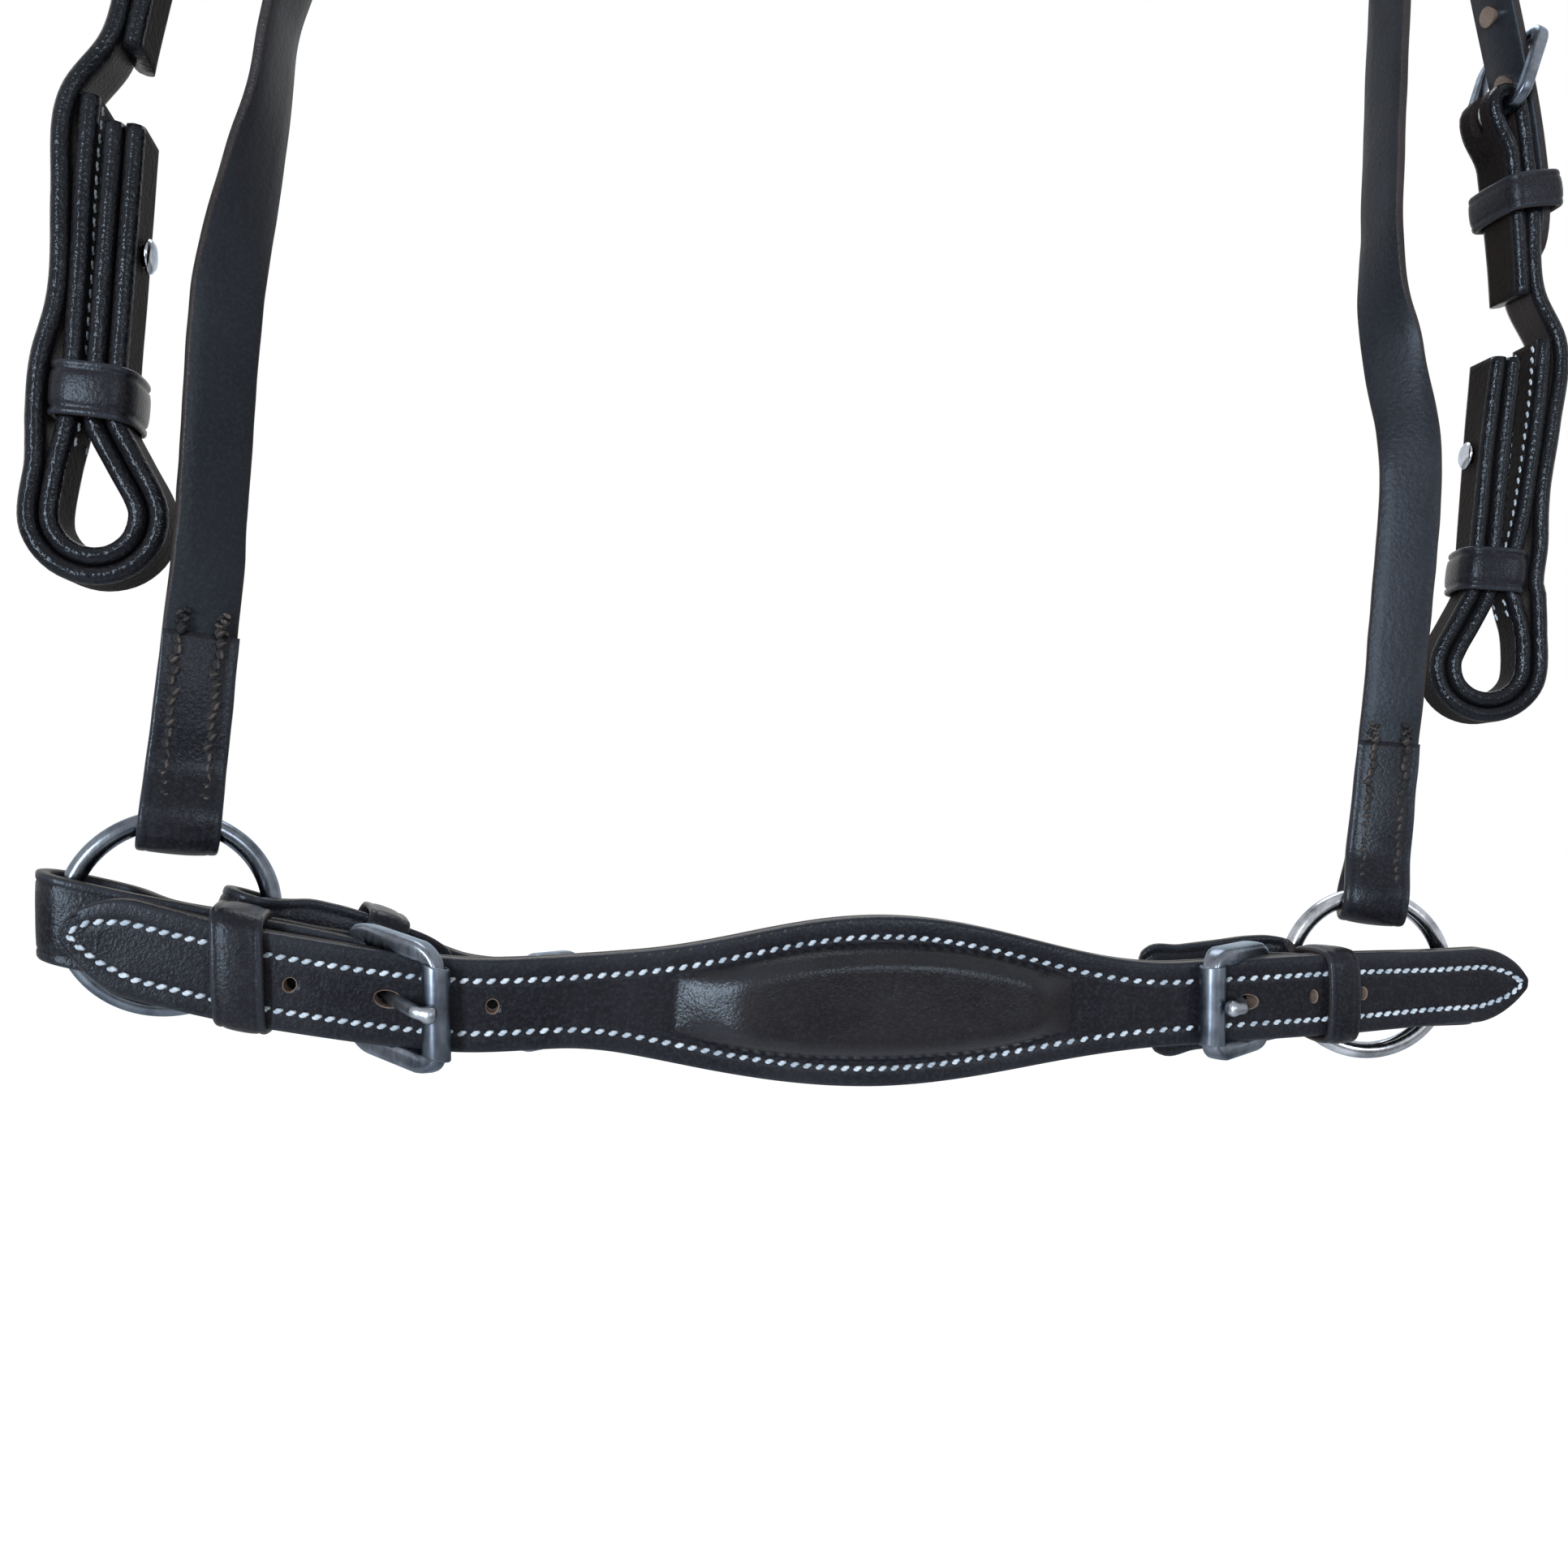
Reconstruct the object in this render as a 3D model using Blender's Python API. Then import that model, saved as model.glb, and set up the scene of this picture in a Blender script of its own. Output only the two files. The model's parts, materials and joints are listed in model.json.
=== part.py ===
# A horse's bridle with a drop noseband, hanging from the poll.
# Metres, +Z up, the front of the bridle towards -Y. The origin is under the middle of the crown.
# Left and right are as seen from the front.

import math

import bmesh
import bpy
from mathutils import Vector

# The whole bridle. A spread is a place's distance from the middle, and heights start at the rings' middles.
POLL_HEIGHT = 0.490
RING_SPREAD = 0.137
RING_DEPTH = 0.0140
CROWN_DEPTH = 0.025
CROWN_GAP = 0.0006
GAP = 0.0003
FOLD_GAP = 0.0008

# Rings
RING_RADIUS = 0.019
RING_WIRE = 0.0020
RING_YAW = math.radians(12.6)

# Nose strap
NOSE_WIDTH = 0.0188
NOSE_SWELL_WIDTH = 0.0365
NOSE_SWELL_LENGTH = 0.140
NOSE_HALF_LENGTH = 0.1615
NOSE_FRONT_THICK = 0.0029
NOSE_LINING_THICK = 0.0018
NOSE_TIP_LENGTH = 0.017
NOSE_LEVEL = -0.0122
NOSE_SWELL_RISE = 0.0024
NOSE_TILT = math.radians(3.4)
NOSE_RISES = {-1: math.radians(7.5), 1: math.radians(5.5)}
NOSE_BEND_INNER = 0.058
NOSE_BEND_OUTER = 0.080
PAD_LENGTH = 0.087
PAD_HEIGHT = 0.0238
PAD_END_HEIGHT = 0.0105
PAD_RAISE = 0.0032
PAD_SLOPE = 0.0014
HOLE_RADIUS = 0.0019
HOLE_PITCH = 0.0175
HOLE_COUNT = 3

# Nose buckles, with the roller nearer the middle than the bar
NOSE_HOLE_SPREAD = 0.0965
NOSE_BUCKLE_LENGTH = 0.021
NOSE_SKEWS = {-1: math.radians(5), 1: 0}
ROLLER_RADIUS = 0.0026
ROLLER_WALL = 0.0009
BUCKLE_ROD = 0.0014
BUCKLE_BAR = 0.0016
BUCKLE_SIDE_ROOM = 0.0015
TONGUE_ROD = 0.0013
TONGUE_STEEPNESS_SHARE = 0.53
TONGUE_HOLE_SHARE = 0.57
TONGUE_ROOM = 0.0003
TONGUE_LIFT_ROOM = 0.0009
SLOT_ROOM = 0.0005

# Chapes that join the buckles to the rings, and the nose keepers
CHAPE_WIDTH = 0.019
CHAPE_THICK = 0.0026
CHAPE_RING_ROOM = 0.0018
NOSE_KEEPER_SPREAD = 0.1240
KEEPER_LENGTH = 0.011
KEEPER_THICK = 0.0018
KEEPER_ROOM = 0.0006

# Chin strap, with a wide guard behind each end of the nose strap
CHIN_WIDTH = 0.019
CHIN_THICK = 0.0025
CHIN_RING_ROOM = 0.0018
CHIN_BACK = 0.050
CHIN_SAG = 0.0152
CHIN_DROP = math.radians(12)
CHIN_SLOT_WIDTH = 0.016
GUARD_WIDTH = 0.0255
GUARD_LENGTH = 0.043
GUARD_CORNER = 0.006
CHIN_BAR_SPREAD = 0.064
CHIN_KEEPER_SPREAD = 0.0975
CHIN_TIP_SPREAD = 0.108

# Small flat buckles
SMALL_BUCKLE_LENGTH = 0.016
SMALL_KEEPER_LENGTH = 0.009
SMALL_KEEPER_THICK = 0.0016

# Sliphead, the strap that carries the noseband. Its bar is at a share of the shoulders' height.
SLIP_WIDTH = 0.016
SLIP_THICK = 0.0030
SLIP_FOLD_ROOM = 0.0017
SLIP_FLAP = 0.038
SLIP_BAR_SHARE = 0.675
SLIP_OVERLAP = 0.044
SLIP_ARCH = 0.124

# Headpiece, whose front legs carry the cheekpieces and rear legs the throatlash
HEAD_WIDTH = 0.034
HEAD_THICK = 0.0025
HEAD_SLIT = 0.0012
CHEEK_BAR_HEIGHT = 0.222
CHEEK_TIP_HEIGHT = 0.186
THROAT_WIDTH = 0.0125

# Cheekpieces of two layers, each ending in a loop for the bit
CHEEK_WIDTH = 0.013
CHEEK_LAYER = 0.0036
CHEEK_DEPTH = 0.022
LOOP_SPREAD = 0.158
CHEEK_SWAYS = {-1: 0, 1: 0.0135}
LOOP_RADIUS = 0.01025
LOOP_HEIGHT = 0.079
MAIN_LEG_SPREAD = 0.166
BACK_LEG_SPREAD = 0.1575
BACK_LEG_RISE = 0.024
LOOP_KEEPER_HEIGHT = 0.1035
LOOP_KEEPER_LENGTH = 0.011
LOOP_KEEPER_THICK = 0.0014
STUD_RISE = 0.0305
STUD_RADIUS = 0.0018
STUD_HEAD_RADIUS = 0.0036
STUD_HEAD_THICK = 0.0016

# Browband
BROW_DROP = 0.0175
BROW_WIDTH = 0.022
BROW_END_WIDTH = 0.019
BROW_THICK = 0.0030
BROW_REACH = 0.071
BROW_ROOM = 0.0012
BROW_FLAP = 0.040

# Throatlash
THROAT_THICK = 0.0025
THROAT_REACH = 0.095
THROAT_DROP = 0.063
THROAT_ROD_DROP = 0.0165

EDGE = 0.0007
OVERRUN = 0.004
STEP = 0.012

NOSE_SHIFT = HOLE_PITCH / 2
HOLE_FIRST = NOSE_HOLE_SPREAD - NOSE_SHIFT
SLIP_TOP = SLIP_ARCH + SLIP_THICK / 2
HEAD_ARCH = SLIP_TOP + CROWN_GAP + HEAD_THICK / 2
ARCH_HEIGHT = POLL_HEIGHT - SLIP_ARCH + SLIP_THICK / 2
BROW_HEIGHT = ARCH_HEIGHT - BROW_DROP
THROAT_TOP = BROW_HEIGHT - BROW_WIDTH / 2
SLIP_BAR_HEIGHT = ARCH_HEIGHT * SLIP_BAR_SHARE
STUD_HEIGHT = LOOP_KEEPER_HEIGHT + STUD_RISE
BACK_LEG_TOP = STUD_HEIGHT + BACK_LEG_RISE
THROAT_HEIGHT = THROAT_TOP - THROAT_DROP
THROAT_ROD_START = ARCH_HEIGHT - THROAT_TOP + THROAT_ROD_DROP
NOSE_THICK = NOSE_FRONT_THICK + GAP + NOSE_LINING_THICK
HEAD_LEG_WIDTH = (HEAD_WIDTH - HEAD_SLIT) / 2
CHEEK_LEG_DEPTH = CROWN_DEPTH - (HEAD_WIDTH - HEAD_LEG_WIDTH) / 2
THROAT_LEG_DEPTH = CROWN_DEPTH + (HEAD_WIDTH - HEAD_LEG_WIDTH) / 2
CHEEK_LAYER_OFFSET = (CHEEK_LAYER + GAP) / 2

for old in list(bpy.data.objects):
    bpy.data.objects.remove(old)

bridle = bpy.data.objects.new("bridle", None)
bpy.context.scene.collection.objects.link(bridle)
bridle.location = (0, -CROWN_DEPTH, -POLL_HEIGHT)


def make_material(name, colour, roughness, metallic):
    material = bpy.data.materials.new(name)
    material.use_nodes = True
    shader = material.node_tree.nodes["Principled BSDF"]
    shader.inputs["Base Color"].default_value = (*colour, 1)
    shader.inputs["Roughness"].default_value = roughness
    shader.inputs["Metallic"].default_value = metallic
    return material


LEATHER = make_material("bridle_leather", (0.030, 0.020, 0.018), 0.42, 0)
LINING = make_material("lining_leather", (0.045, 0.026, 0.020), 0.60, 0)
STEEL = make_material("steel", (0.55, 0.56, 0.58), 0.28, 1)


def add_piece(name, bm, material, origin=Vector((0, 0, 0)), smooth=True):
    """Makes the named piece from a closed bmesh, with its origin at the given place."""
    bmesh.ops.recalc_face_normals(bm, faces=bm.faces)
    bmesh.ops.translate(bm, verts=bm.verts, vec=-origin)
    mesh = bpy.data.meshes.new(name)
    bm.to_mesh(mesh)
    bm.free()
    mesh.materials.append(material)
    if smooth:
        mesh.shade_smooth()
        mesh.set_sharp_from_angle(angle=math.radians(40))
    piece = bpy.data.objects.new(name, mesh)
    bpy.context.scene.collection.objects.link(piece)
    piece.location = origin
    piece.parent = bridle
    return piece


def loft(sections, closed=False):
    """Joins rings of points into one skin. An open one gets a flat cap at each end."""
    bm = bmesh.new()
    rings = [[bm.verts.new(point) for point in section] for section in sections]
    count = len(rings[0])
    pairs = list(zip(rings, rings[1:]))
    if closed:
        pairs.append((rings[-1], rings[0]))
    else:
        bm.faces.new(rings[0])
        bm.faces.new(rings[-1])
    for ring, following in pairs:
        for i in range(count):
            j = (i + 1) % count
            bm.faces.new((ring[i], ring[j], following[j], following[i]))
    return bm


def directions(points, closed):
    """The direction of travel at each point of a line."""
    found = []
    for i in range(len(points)):
        before = points[i - 1] if i or closed else points[i]
        after = points[(i + 1) % len(points)] if i + 1 < len(points) or closed else points[i]
        found.append((after - before).normalized())
    return found


def strap_section(place, across, out, width, thick):
    """Six points round a strap, whose outer face has bevelled edges."""
    half, deep = width / 2, thick / 2
    edge = min(EDGE, thick / 3, width / 4)
    corners = [
        (half, -deep), (half, deep - edge), (half - edge, deep),
        (-half + edge, deep), (-half, deep - edge), (-half, -deep),
    ]
    return [place + across * a + out * b for a, b in corners]


def ribbon(stations, thick, closed=False):
    """A strap through stations, each a place, the direction across the strap, and its width."""
    aims = directions([place for place, _, _ in stations], closed)
    sections = []
    for (place, across, width), aim in zip(stations, aims):
        square = (across - aim * across.dot(aim)).normalized()
        sections.append(strap_section(place, square, aim.cross(square), width, thick))
    return loft(sections, closed)


def rod(points, radius, sides=8, closed=False):
    """A round rod along points that lie in one plane."""
    aims = directions(points, closed)
    normal = Vector((0, 0, 0))
    for a, b in zip(points, points[1:]):
        normal += (a - points[0]).cross(b - points[0])
    normal.normalize()
    sections = []
    for point, aim in zip(points, aims):
        side = aim.cross(normal)
        turns = [2 * math.pi * (i + 0.5) / sides for i in range(sides)]
        sections.append([point + (side * math.cos(t) + normal * math.sin(t)) * radius for t in turns])
    return loft(sections, closed)


class Spine:
    """The line that a strap follows: places along it, with the directions along, across and out."""

    def __init__(self, places, acrosses, fineness=16):
        knots = [Vector(place) for place in places]
        sides = [Vector(across) for across in acrosses]
        ends = [knots[0] * 2 - knots[1]] + knots + [knots[-1] * 2 - knots[-2]]
        self.points, self.sides = [], []
        for i in range(len(knots) - 1):
            p0, p1, p2, p3 = ends[i : i + 4]
            for j in range(fineness):
                t = j / fineness
                curve = (p1 * 2 + (p2 - p0) * t + (p0 * 2 - p1 * 5 + p2 * 4 - p3) * t * t
                         + (p1 * 3 - p0 - p2 * 3 + p3) * t * t * t) / 2
                self.points.append(curve)
                self.sides.append(sides[i].lerp(sides[i + 1], t))
        self.points.append(knots[-1])
        self.sides.append(sides[-1])
        self.reach = [0]
        for a, b in zip(self.points, self.points[1:]):
            self.reach.append(self.reach[-1] + (b - a).length)
        self.length = self.reach[-1]

    def frame(self, s):
        """Place, along, across and out at a distance along the line, which runs on straight past its ends."""
        i = 0
        while i < len(self.points) - 2 and self.reach[i + 1] < s:
            i += 1
        start, end = self.points[i], self.points[i + 1]
        share = (s - self.reach[i]) / (self.reach[i + 1] - self.reach[i])
        along = self.aim(i).lerp(self.aim(i + 1), min(max(share, 0), 1)).normalized()
        across = self.sides[i].lerp(self.sides[i + 1], min(max(share, 0), 1))
        across = (across - along * across.dot(along)).normalized()
        place = start.lerp(end, min(max(share, 0), 1))
        if s < 0:
            place += along * s
        if s > self.length:
            place += along * (s - self.length)
        return place, along, across, along.cross(across)

    def aim(self, i):
        before, after = max(i - 1, 0), min(i + 1, len(self.points) - 1)
        return (self.points[after] - self.points[before]).normalized()

    def at(self, s, out=0):
        place, _, _, outward = self.frame(s)
        return place + outward * out

    def station(self, s, out, width):
        place, _, across, outward = self.frame(s)
        return place + outward * out, across, width

    def crossing(self, values, wanted):
        """The distance along the line at which one of its coordinates first passes the wanted value."""
        for i, (low, high) in enumerate(zip(values, values[1:])):
            if min(low, high) <= wanted <= max(low, high) and low != high:
                return self.reach[i] + (self.reach[i + 1] - self.reach[i]) * (wanted - low) / (high - low)
        return 0

    def nearest(self, height):
        return self.crossing([point.z for point in self.points], height)

    def past(self, reach):
        return self.crossing([abs(point.x) for point in self.points], reach)


def spread(knots, step=STEP):
    """Adds knots so that none lie further apart than the step. A knot is s, out and width."""
    filled = [knots[0]]
    for before, after in zip(knots, knots[1:]):
        count = max(1, math.ceil(abs(after[0] - before[0]) / step - 0.01))
        for i in range(1, count + 1):
            filled.append(tuple(a + (b - a) * i / count for a, b in zip(before, after)))
    return filled


def turn(s, out, radius, start, end, width, count=6):
    """Knots round a fold, from one angle to another in degrees."""
    knots = []
    for i in range(count + 1):
        angle = math.radians(start + (end - start) * i / count)
        knots.append((s + radius * math.cos(angle), out + radius * math.sin(angle), width))
    return knots


def tip(s, width, length, out, direction=1):
    """Knots that narrow a strap to a rounded point at s."""
    shares = [(1, 1), (0.62, 0.90), (0.32, 0.68), (0.12, 0.42), (0, 0.20)]
    return [(s - direction * length * back, out, width * wide) for back, wide in shares]


def follow(spine, knots):
    return [spine.station(*knot) for knot in knots]


def cutter(name, bm):
    """A hidden tool for a Boolean cut."""
    piece = add_piece(name, bm, LEATHER, smooth=False)
    piece.hide_render = True
    piece.display_type = "WIRE"
    return piece


def cut(piece, tool):
    modifier = piece.modifiers.new("cut", "BOOLEAN")
    modifier.operation = "DIFFERENCE"
    modifier.object = tool
    piece.modifiers.new("triangles", "TRIANGULATE")


def oval(bm, spine, s, half_along, half_across, depth, out=0, sides=10):
    """Adds an oval prism through a strap, in the direction out of its face."""
    place, along, across, outward = spine.frame(s)
    rings = []
    for level in (out - depth, out + depth):
        ring = []
        for i in range(sides):
            turned = 2 * math.pi * (i + 0.5) / sides
            shift = along * half_along * math.cos(turned) + across * half_across * math.sin(turned)
            ring.append(bm.verts.new(place + outward * level + shift))
        rings.append(ring)
    bm.faces.new(rings[0])
    bm.faces.new(rings[1])
    for i in range(sides):
        j = (i + 1) % sides
        bm.faces.new((rings[0][i], rings[0][j], rings[1][j], rings[1][i]))


class Buckle:
    """A buckle on a strap. The strap passes behind its front rod, over its bar and on.

    Places are given along the strap from the front rod, and out of the strap's middle plane.
    """

    def __init__(self, spine, start, strap_thick, strap_width, length, chape_thick, roller=False, out=0):
        self.spine, self.start, self.level = spine, start, out
        self.strap, self.width, self.length = strap_thick, strap_width, length
        self.chape, self.has_roller = chape_thick, roller
        self.front_radius = ROLLER_RADIUS if roller else BUCKLE_BAR
        self.front_out = strap_thick / 2 + GAP + self.front_radius
        self.bar_out = -(strap_thick / 2 + GAP + chape_thick + GAP + BUCKLE_BAR)
        self.fold_radius = BUCKLE_BAR + GAP + chape_thick / 2
        self.layer_out = -(strap_thick / 2 + GAP + chape_thick / 2)
        self.back_layer_out = self.layer_out - chape_thick - FOLD_GAP
        self.hole = TONGUE_HOLE_SHARE * length
        self.place, self.along, self.across, self.outward = spine.frame(start + length / 2)
        self.place = self.place + self.outward * out - self.along * length / 2

    def point(self, along, across, out):
        return self.place + self.along * along + self.across * across + self.outward * out

    def frame_piece(self, name, sides=6):
        """The rectangular frame, of one round rod."""
        half = self.width / 2 + BUCKLE_SIDE_ROOM + BUCKLE_BAR
        corner = 2 * BUCKLE_BAR
        tilt = (self.bar_out - self.front_out) / self.length
        path = []
        for along, across, start in ((0, -1, 180), (self.length, -1, 270), (self.length, 1, 0), (0, 1, 90)):
            middle_along = along + (corner if along == 0 else -corner)
            middle_across = across * (half - corner)
            for i in range(4):
                turned = math.radians(start + 30 * i)
                a = middle_along + corner * math.cos(turned)
                b = middle_across + corner * math.sin(turned)
                path.append(self.point(a, b, self.front_out + tilt * a))
        return add_piece(name, rod(path, self.rod_radius(), sides, closed=True), STEEL, self.bar())

    def rod_radius(self):
        return BUCKLE_ROD if self.has_roller else BUCKLE_BAR

    def bar(self):
        return self.point(self.length, 0, self.bar_out)

    def roller_piece(self, name, sides=14):
        """The thin tube that turns on the front rod."""
        half = self.width / 2 + BUCKLE_SIDE_ROOM + BUCKLE_BAR - 2 * BUCKLE_BAR - GAP
        inner = ROLLER_RADIUS - ROLLER_WALL
        sections = []
        for i in range(sides):
            turned = 2 * math.pi * i / sides
            ray = self.along * math.cos(turned) + self.outward * math.sin(turned)
            corners = ((inner, -half), (ROLLER_RADIUS, -half), (ROLLER_RADIUS, half), (inner, half))
            sections.append([self.point(0, b, self.front_out) + ray * r for r, b in corners])
        return add_piece(name, loft(sections, closed=True), STEEL, self.point(0, 0, self.front_out))

    def tongue_piece(self, name, sides=6):
        """The tongue: an eye round the bar, a steep shank through the hole, and a point on the front rod."""
        eye = BUCKLE_BAR + GAP + TONGUE_ROD
        path = []
        for i in range(9):
            turned = math.radians(475 - 295 * i / 8)
            path.append((self.length + eye * math.cos(turned), self.bar_out + eye * math.sin(turned)))
        reach = self.strap / 2 + TONGUE_ROD
        top = self.front_out + self.front_radius + GAP + TONGUE_ROD
        lean = reach * TONGUE_STEEPNESS_SHARE
        under = -(reach + GAP)
        path.append((self.length - eye - TONGUE_ROD / 2, (under + self.bar_out) / 2))
        path.append((self.hole + lean, under))
        path.append((self.hole - lean, reach))
        path.append((self.hole / 2, reach + (top - reach) * 0.75))
        path.append((self.front_radius * 0.6, top))
        path.append((-self.front_radius - GAP, top))
        points = [self.point(a, 0, b) for a, b in path]
        return add_piece(name, rod(points, TONGUE_ROD, sides), STEEL, self.bar())

    def strap_hole(self, bm):
        """The hole in the strap that the tongue stands in."""
        reach = self.strap / 2 + TONGUE_ROD
        low = self.hole - reach * TONGUE_STEEPNESS_SHARE
        high = self.hole + reach * TONGUE_STEEPNESS_SHARE + TONGUE_LIFT_ROOM
        half = (high - low) / 2 + TONGUE_ROD * 0.7
        oval(bm, self.spine, self.start + (low + high) / 2, half, TONGUE_ROD + 2 * TONGUE_ROOM,
             self.strap / 2 + OVERRUN / 4, self.level)

    def chape_slot(self, name):
        """A cutter for the slot in the chape that the tongue's eye sits in."""
        bm = bmesh.new()
        eye = BUCKLE_BAR + GAP + 2 * TONGUE_ROD
        across = TONGUE_ROD + SLOT_ROOM
        low, high = self.length - eye - OVERRUN, self.length + eye + SLOT_ROOM
        near, far = self.strap / 2, self.bar_out - self.fold_radius - self.chape
        rings = []
        for a in (low, high):
            corners = ((-across, near), (across, near), (across, far), (-across, far))
            rings.append([bm.verts.new(self.point(a, b, c)) for b, c in corners])
        bm.faces.new(rings[0])
        bm.faces.new(rings[1])
        for i in range(4):
            j = (i + 1) % 4
            bm.faces.new((rings[0][i], rings[0][j], rings[1][j], rings[1][i]))
        return cutter(name, bm)

    def bar_turn(self, width, backwards=False):
        """Knots of a chape's fold round the bar, from the layer next to the strap to the one behind."""
        bar, fold = self.start + self.length, self.fold_radius
        knots = turn(bar, self.level + self.bar_out, fold, 90, 270, width, 5)
        knots.append((bar + fold / 2, self.level + self.bar_out - fold, width))
        knots.append((bar + 3.4 * fold, self.level + self.back_layer_out, width))
        return knots[::-1] if backwards else knots

    def knot(self, along, out, width):
        return self.start + along, self.level + out, width


def add_keeper(name, spine, s, low, high, width, length, thick, room=KEEPER_ROOM):
    """A closed band round a strap, which fills from low to high out of the spine's line."""
    place, along, across, outward = spine.frame(s)
    middle = (low + high) / 2
    deep = (high - low) / 2 + room + thick / 2
    wide = width / 2 + room + thick / 2
    corner = thick
    stations = []
    for a, b, start in ((1, 1, 0), (-1, 1, 90), (-1, -1, 180), (1, -1, 270)):
        for i in range(3):
            turned = math.radians(start + 45 * i)
            x = a * (wide - corner) + corner * math.cos(turned)
            y = b * (deep - corner) + corner * math.sin(turned)
            stations.append((place + across * x + outward * (middle + y), along, length))
    return add_piece(name, ribbon(stations, thick, closed=True), LEATHER, place)


def nose_line(x):
    """Height of the nose strap's middle line, which tilts in the middle and rises to both tips."""
    side = 1 if x > 0 else -1
    reach = abs(x)
    inner = side * math.tan(NOSE_TILT)
    turned = math.tan(NOSE_RISES[side]) - inner
    bend = NOSE_BEND_OUTER - NOSE_BEND_INNER
    past = min(max(reach - NOSE_BEND_INNER, 0), bend)
    swell = max(0, 1 - (x / NOSE_BEND_OUTER) ** 2) ** 2 * NOSE_SWELL_RISE
    rise = turned * (past ** 2 / (2 * bend) + max(0, reach - NOSE_BEND_OUTER))
    return NOSE_LEVEL + inner * reach + rise + swell


def bell(share):
    """A smooth hump, 1 at the middle and 0 at a share of 1."""
    return (0.5 + 0.5 * math.cos(math.pi * min(1, abs(share)))) if abs(share) < 1 else 0


def nose_width(x):
    """Width of the nose strap, which swells over the nose and ends in two points."""
    swell = bell(2 * (x - NOSE_SHIFT) / NOSE_SWELL_LENGTH)
    width = NOSE_WIDTH + (NOSE_SWELL_WIDTH - NOSE_WIDTH) * swell
    left = NOSE_HALF_LENGTH - abs(x - NOSE_SHIFT)
    share = min(1, max(0, left / NOSE_TIP_LENGTH))
    return width * (0.18 + 0.82 * math.sin(share * math.pi / 2) ** 0.8)


def nose_places():
    """Places along the nose strap, closer together where its outline or its pad changes."""
    half = NOSE_HALF_LENGTH
    tips = [half - NOSE_TIP_LENGTH * share for share in (0, 0.06, 0.2, 0.45, 0.75, 1)]
    pad = PAD_LENGTH / 2
    pad_shares = (0.95, 0.8, 0.6, 0.4, 0.2)
    middles = [pad + PAD_SLOPE / 2, pad - PAD_SLOPE / 2] + [pad * share for share in pad_shares]
    rest = [NOSE_SWELL_LENGTH / 2 * share for share in (0.80, 0.92, 1.05)]
    billet = [NOSE_BEND_OUTER + STEP * (i + 0.5) for i in range(5)]
    reaches = sorted(tips + middles + rest + billet)
    return [NOSE_SHIFT - reach for reach in reaches[::-1]] + [NOSE_SHIFT] + [NOSE_SHIFT + r for r in reaches]


def pad_half_height(x):
    """Half the height of the moulded pad at a place along the nose strap."""
    share = min(1, abs(x - NOSE_SHIFT) / (PAD_LENGTH / 2))
    return (PAD_END_HEIGHT + (PAD_HEIGHT - PAD_END_HEIGHT) * (1 - share ** 2.2)) / 2


def pad_rise(x):
    """How far the pad stands out at a place along the nose strap."""
    return PAD_RAISE if abs(x - NOSE_SHIFT) < PAD_LENGTH / 2 else 0


def nose_section(x, front, back):
    """Points round the front leather, which is moulded over the pad's filling."""
    middle = nose_line(x)
    half = nose_width(x) / 2
    edge = min(EDGE, half / 10)
    pad = min(pad_half_height(x), half * 0.7)
    slope = min(PAD_SLOPE, pad * 0.2)
    rise = pad_rise(x)
    heights = [half, half - edge, (half + pad) / 2, pad + slope / 2, pad - slope / 2, pad / 2]
    rises = [0, 0, 0, 0, rise, rise * 1.08]
    fronts = [front + edge] + [front - r for r in rises[1:]]
    section = [Vector((x, y, middle + h)) for h, y in zip(heights, fronts)]
    section += [Vector((x, fronts[-1], middle))]
    section += [Vector((x, y, middle - h)) for h, y in zip(heights[::-1], fronts[::-1])]
    inner = max(pad - NOSE_FRONT_THICK / 2, pad / 3)
    section += [Vector((x, back, middle - half)), Vector((x, back, middle - inner - slope / 2))]
    section += [Vector((x, back - rise, middle - inner)), Vector((x, back - rise, middle + inner))]
    section += [Vector((x, back, middle + inner + slope / 2)), Vector((x, back, middle + half))]
    return section


def add_nose_strap():
    """The nose strap's front leather, lining and pad filling, with the holes for both tongues."""
    front = -NOSE_THICK / 2
    back = front + NOSE_FRONT_THICK
    sections = [nose_section(x, front, back) for x in nose_places()]
    strap = add_piece("nose_strap", loft(sections), LEATHER)
    lining_middle = back + GAP + NOSE_LINING_THICK / 2
    stations = [(Vector((x, lining_middle, nose_line(x))), Vector((0, 0, 1)), nose_width(x))
                for x in nose_places()[:-1:2] + nose_places()[-1:]]
    lining = add_piece("nose_strap_lining", ribbon(stations, NOSE_LINING_THICK), LINING)
    fill_stations = []
    fill_thick = PAD_RAISE - GAP
    for share in (-1, -0.8, -0.4, 0, 0.4, 0.8, 1):
        x = NOSE_SHIFT + share * (PAD_LENGTH / 2 - PAD_SLOPE - GAP)
        width = 2 * max(pad_half_height(x) - NOSE_FRONT_THICK / 2, pad_half_height(x) / 3) - 3 * GAP
        place = Vector((x, back - PAD_RAISE + GAP + fill_thick / 2, nose_line(x)))
        fill_stations.append((place, Vector((0, 0, 1)), width))
    add_piece("nose_pad_filling", ribbon(fill_stations, fill_thick), LINING)
    return strap, lining


def side_name(side):
    return "right" if side > 0 else "left"


def nose_spine(side):
    """The line of the nose strap from the middle outward."""
    count = 24
    reaches = [(NOSE_HALF_LENGTH + NOSE_SHIFT) * i / count for i in range(count + 1)]
    places = [(side * reach, 0, nose_line(side * reach)) for reach in reaches]
    return Spine(places, [(0, 0, side)] * len(places), 4)


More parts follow.
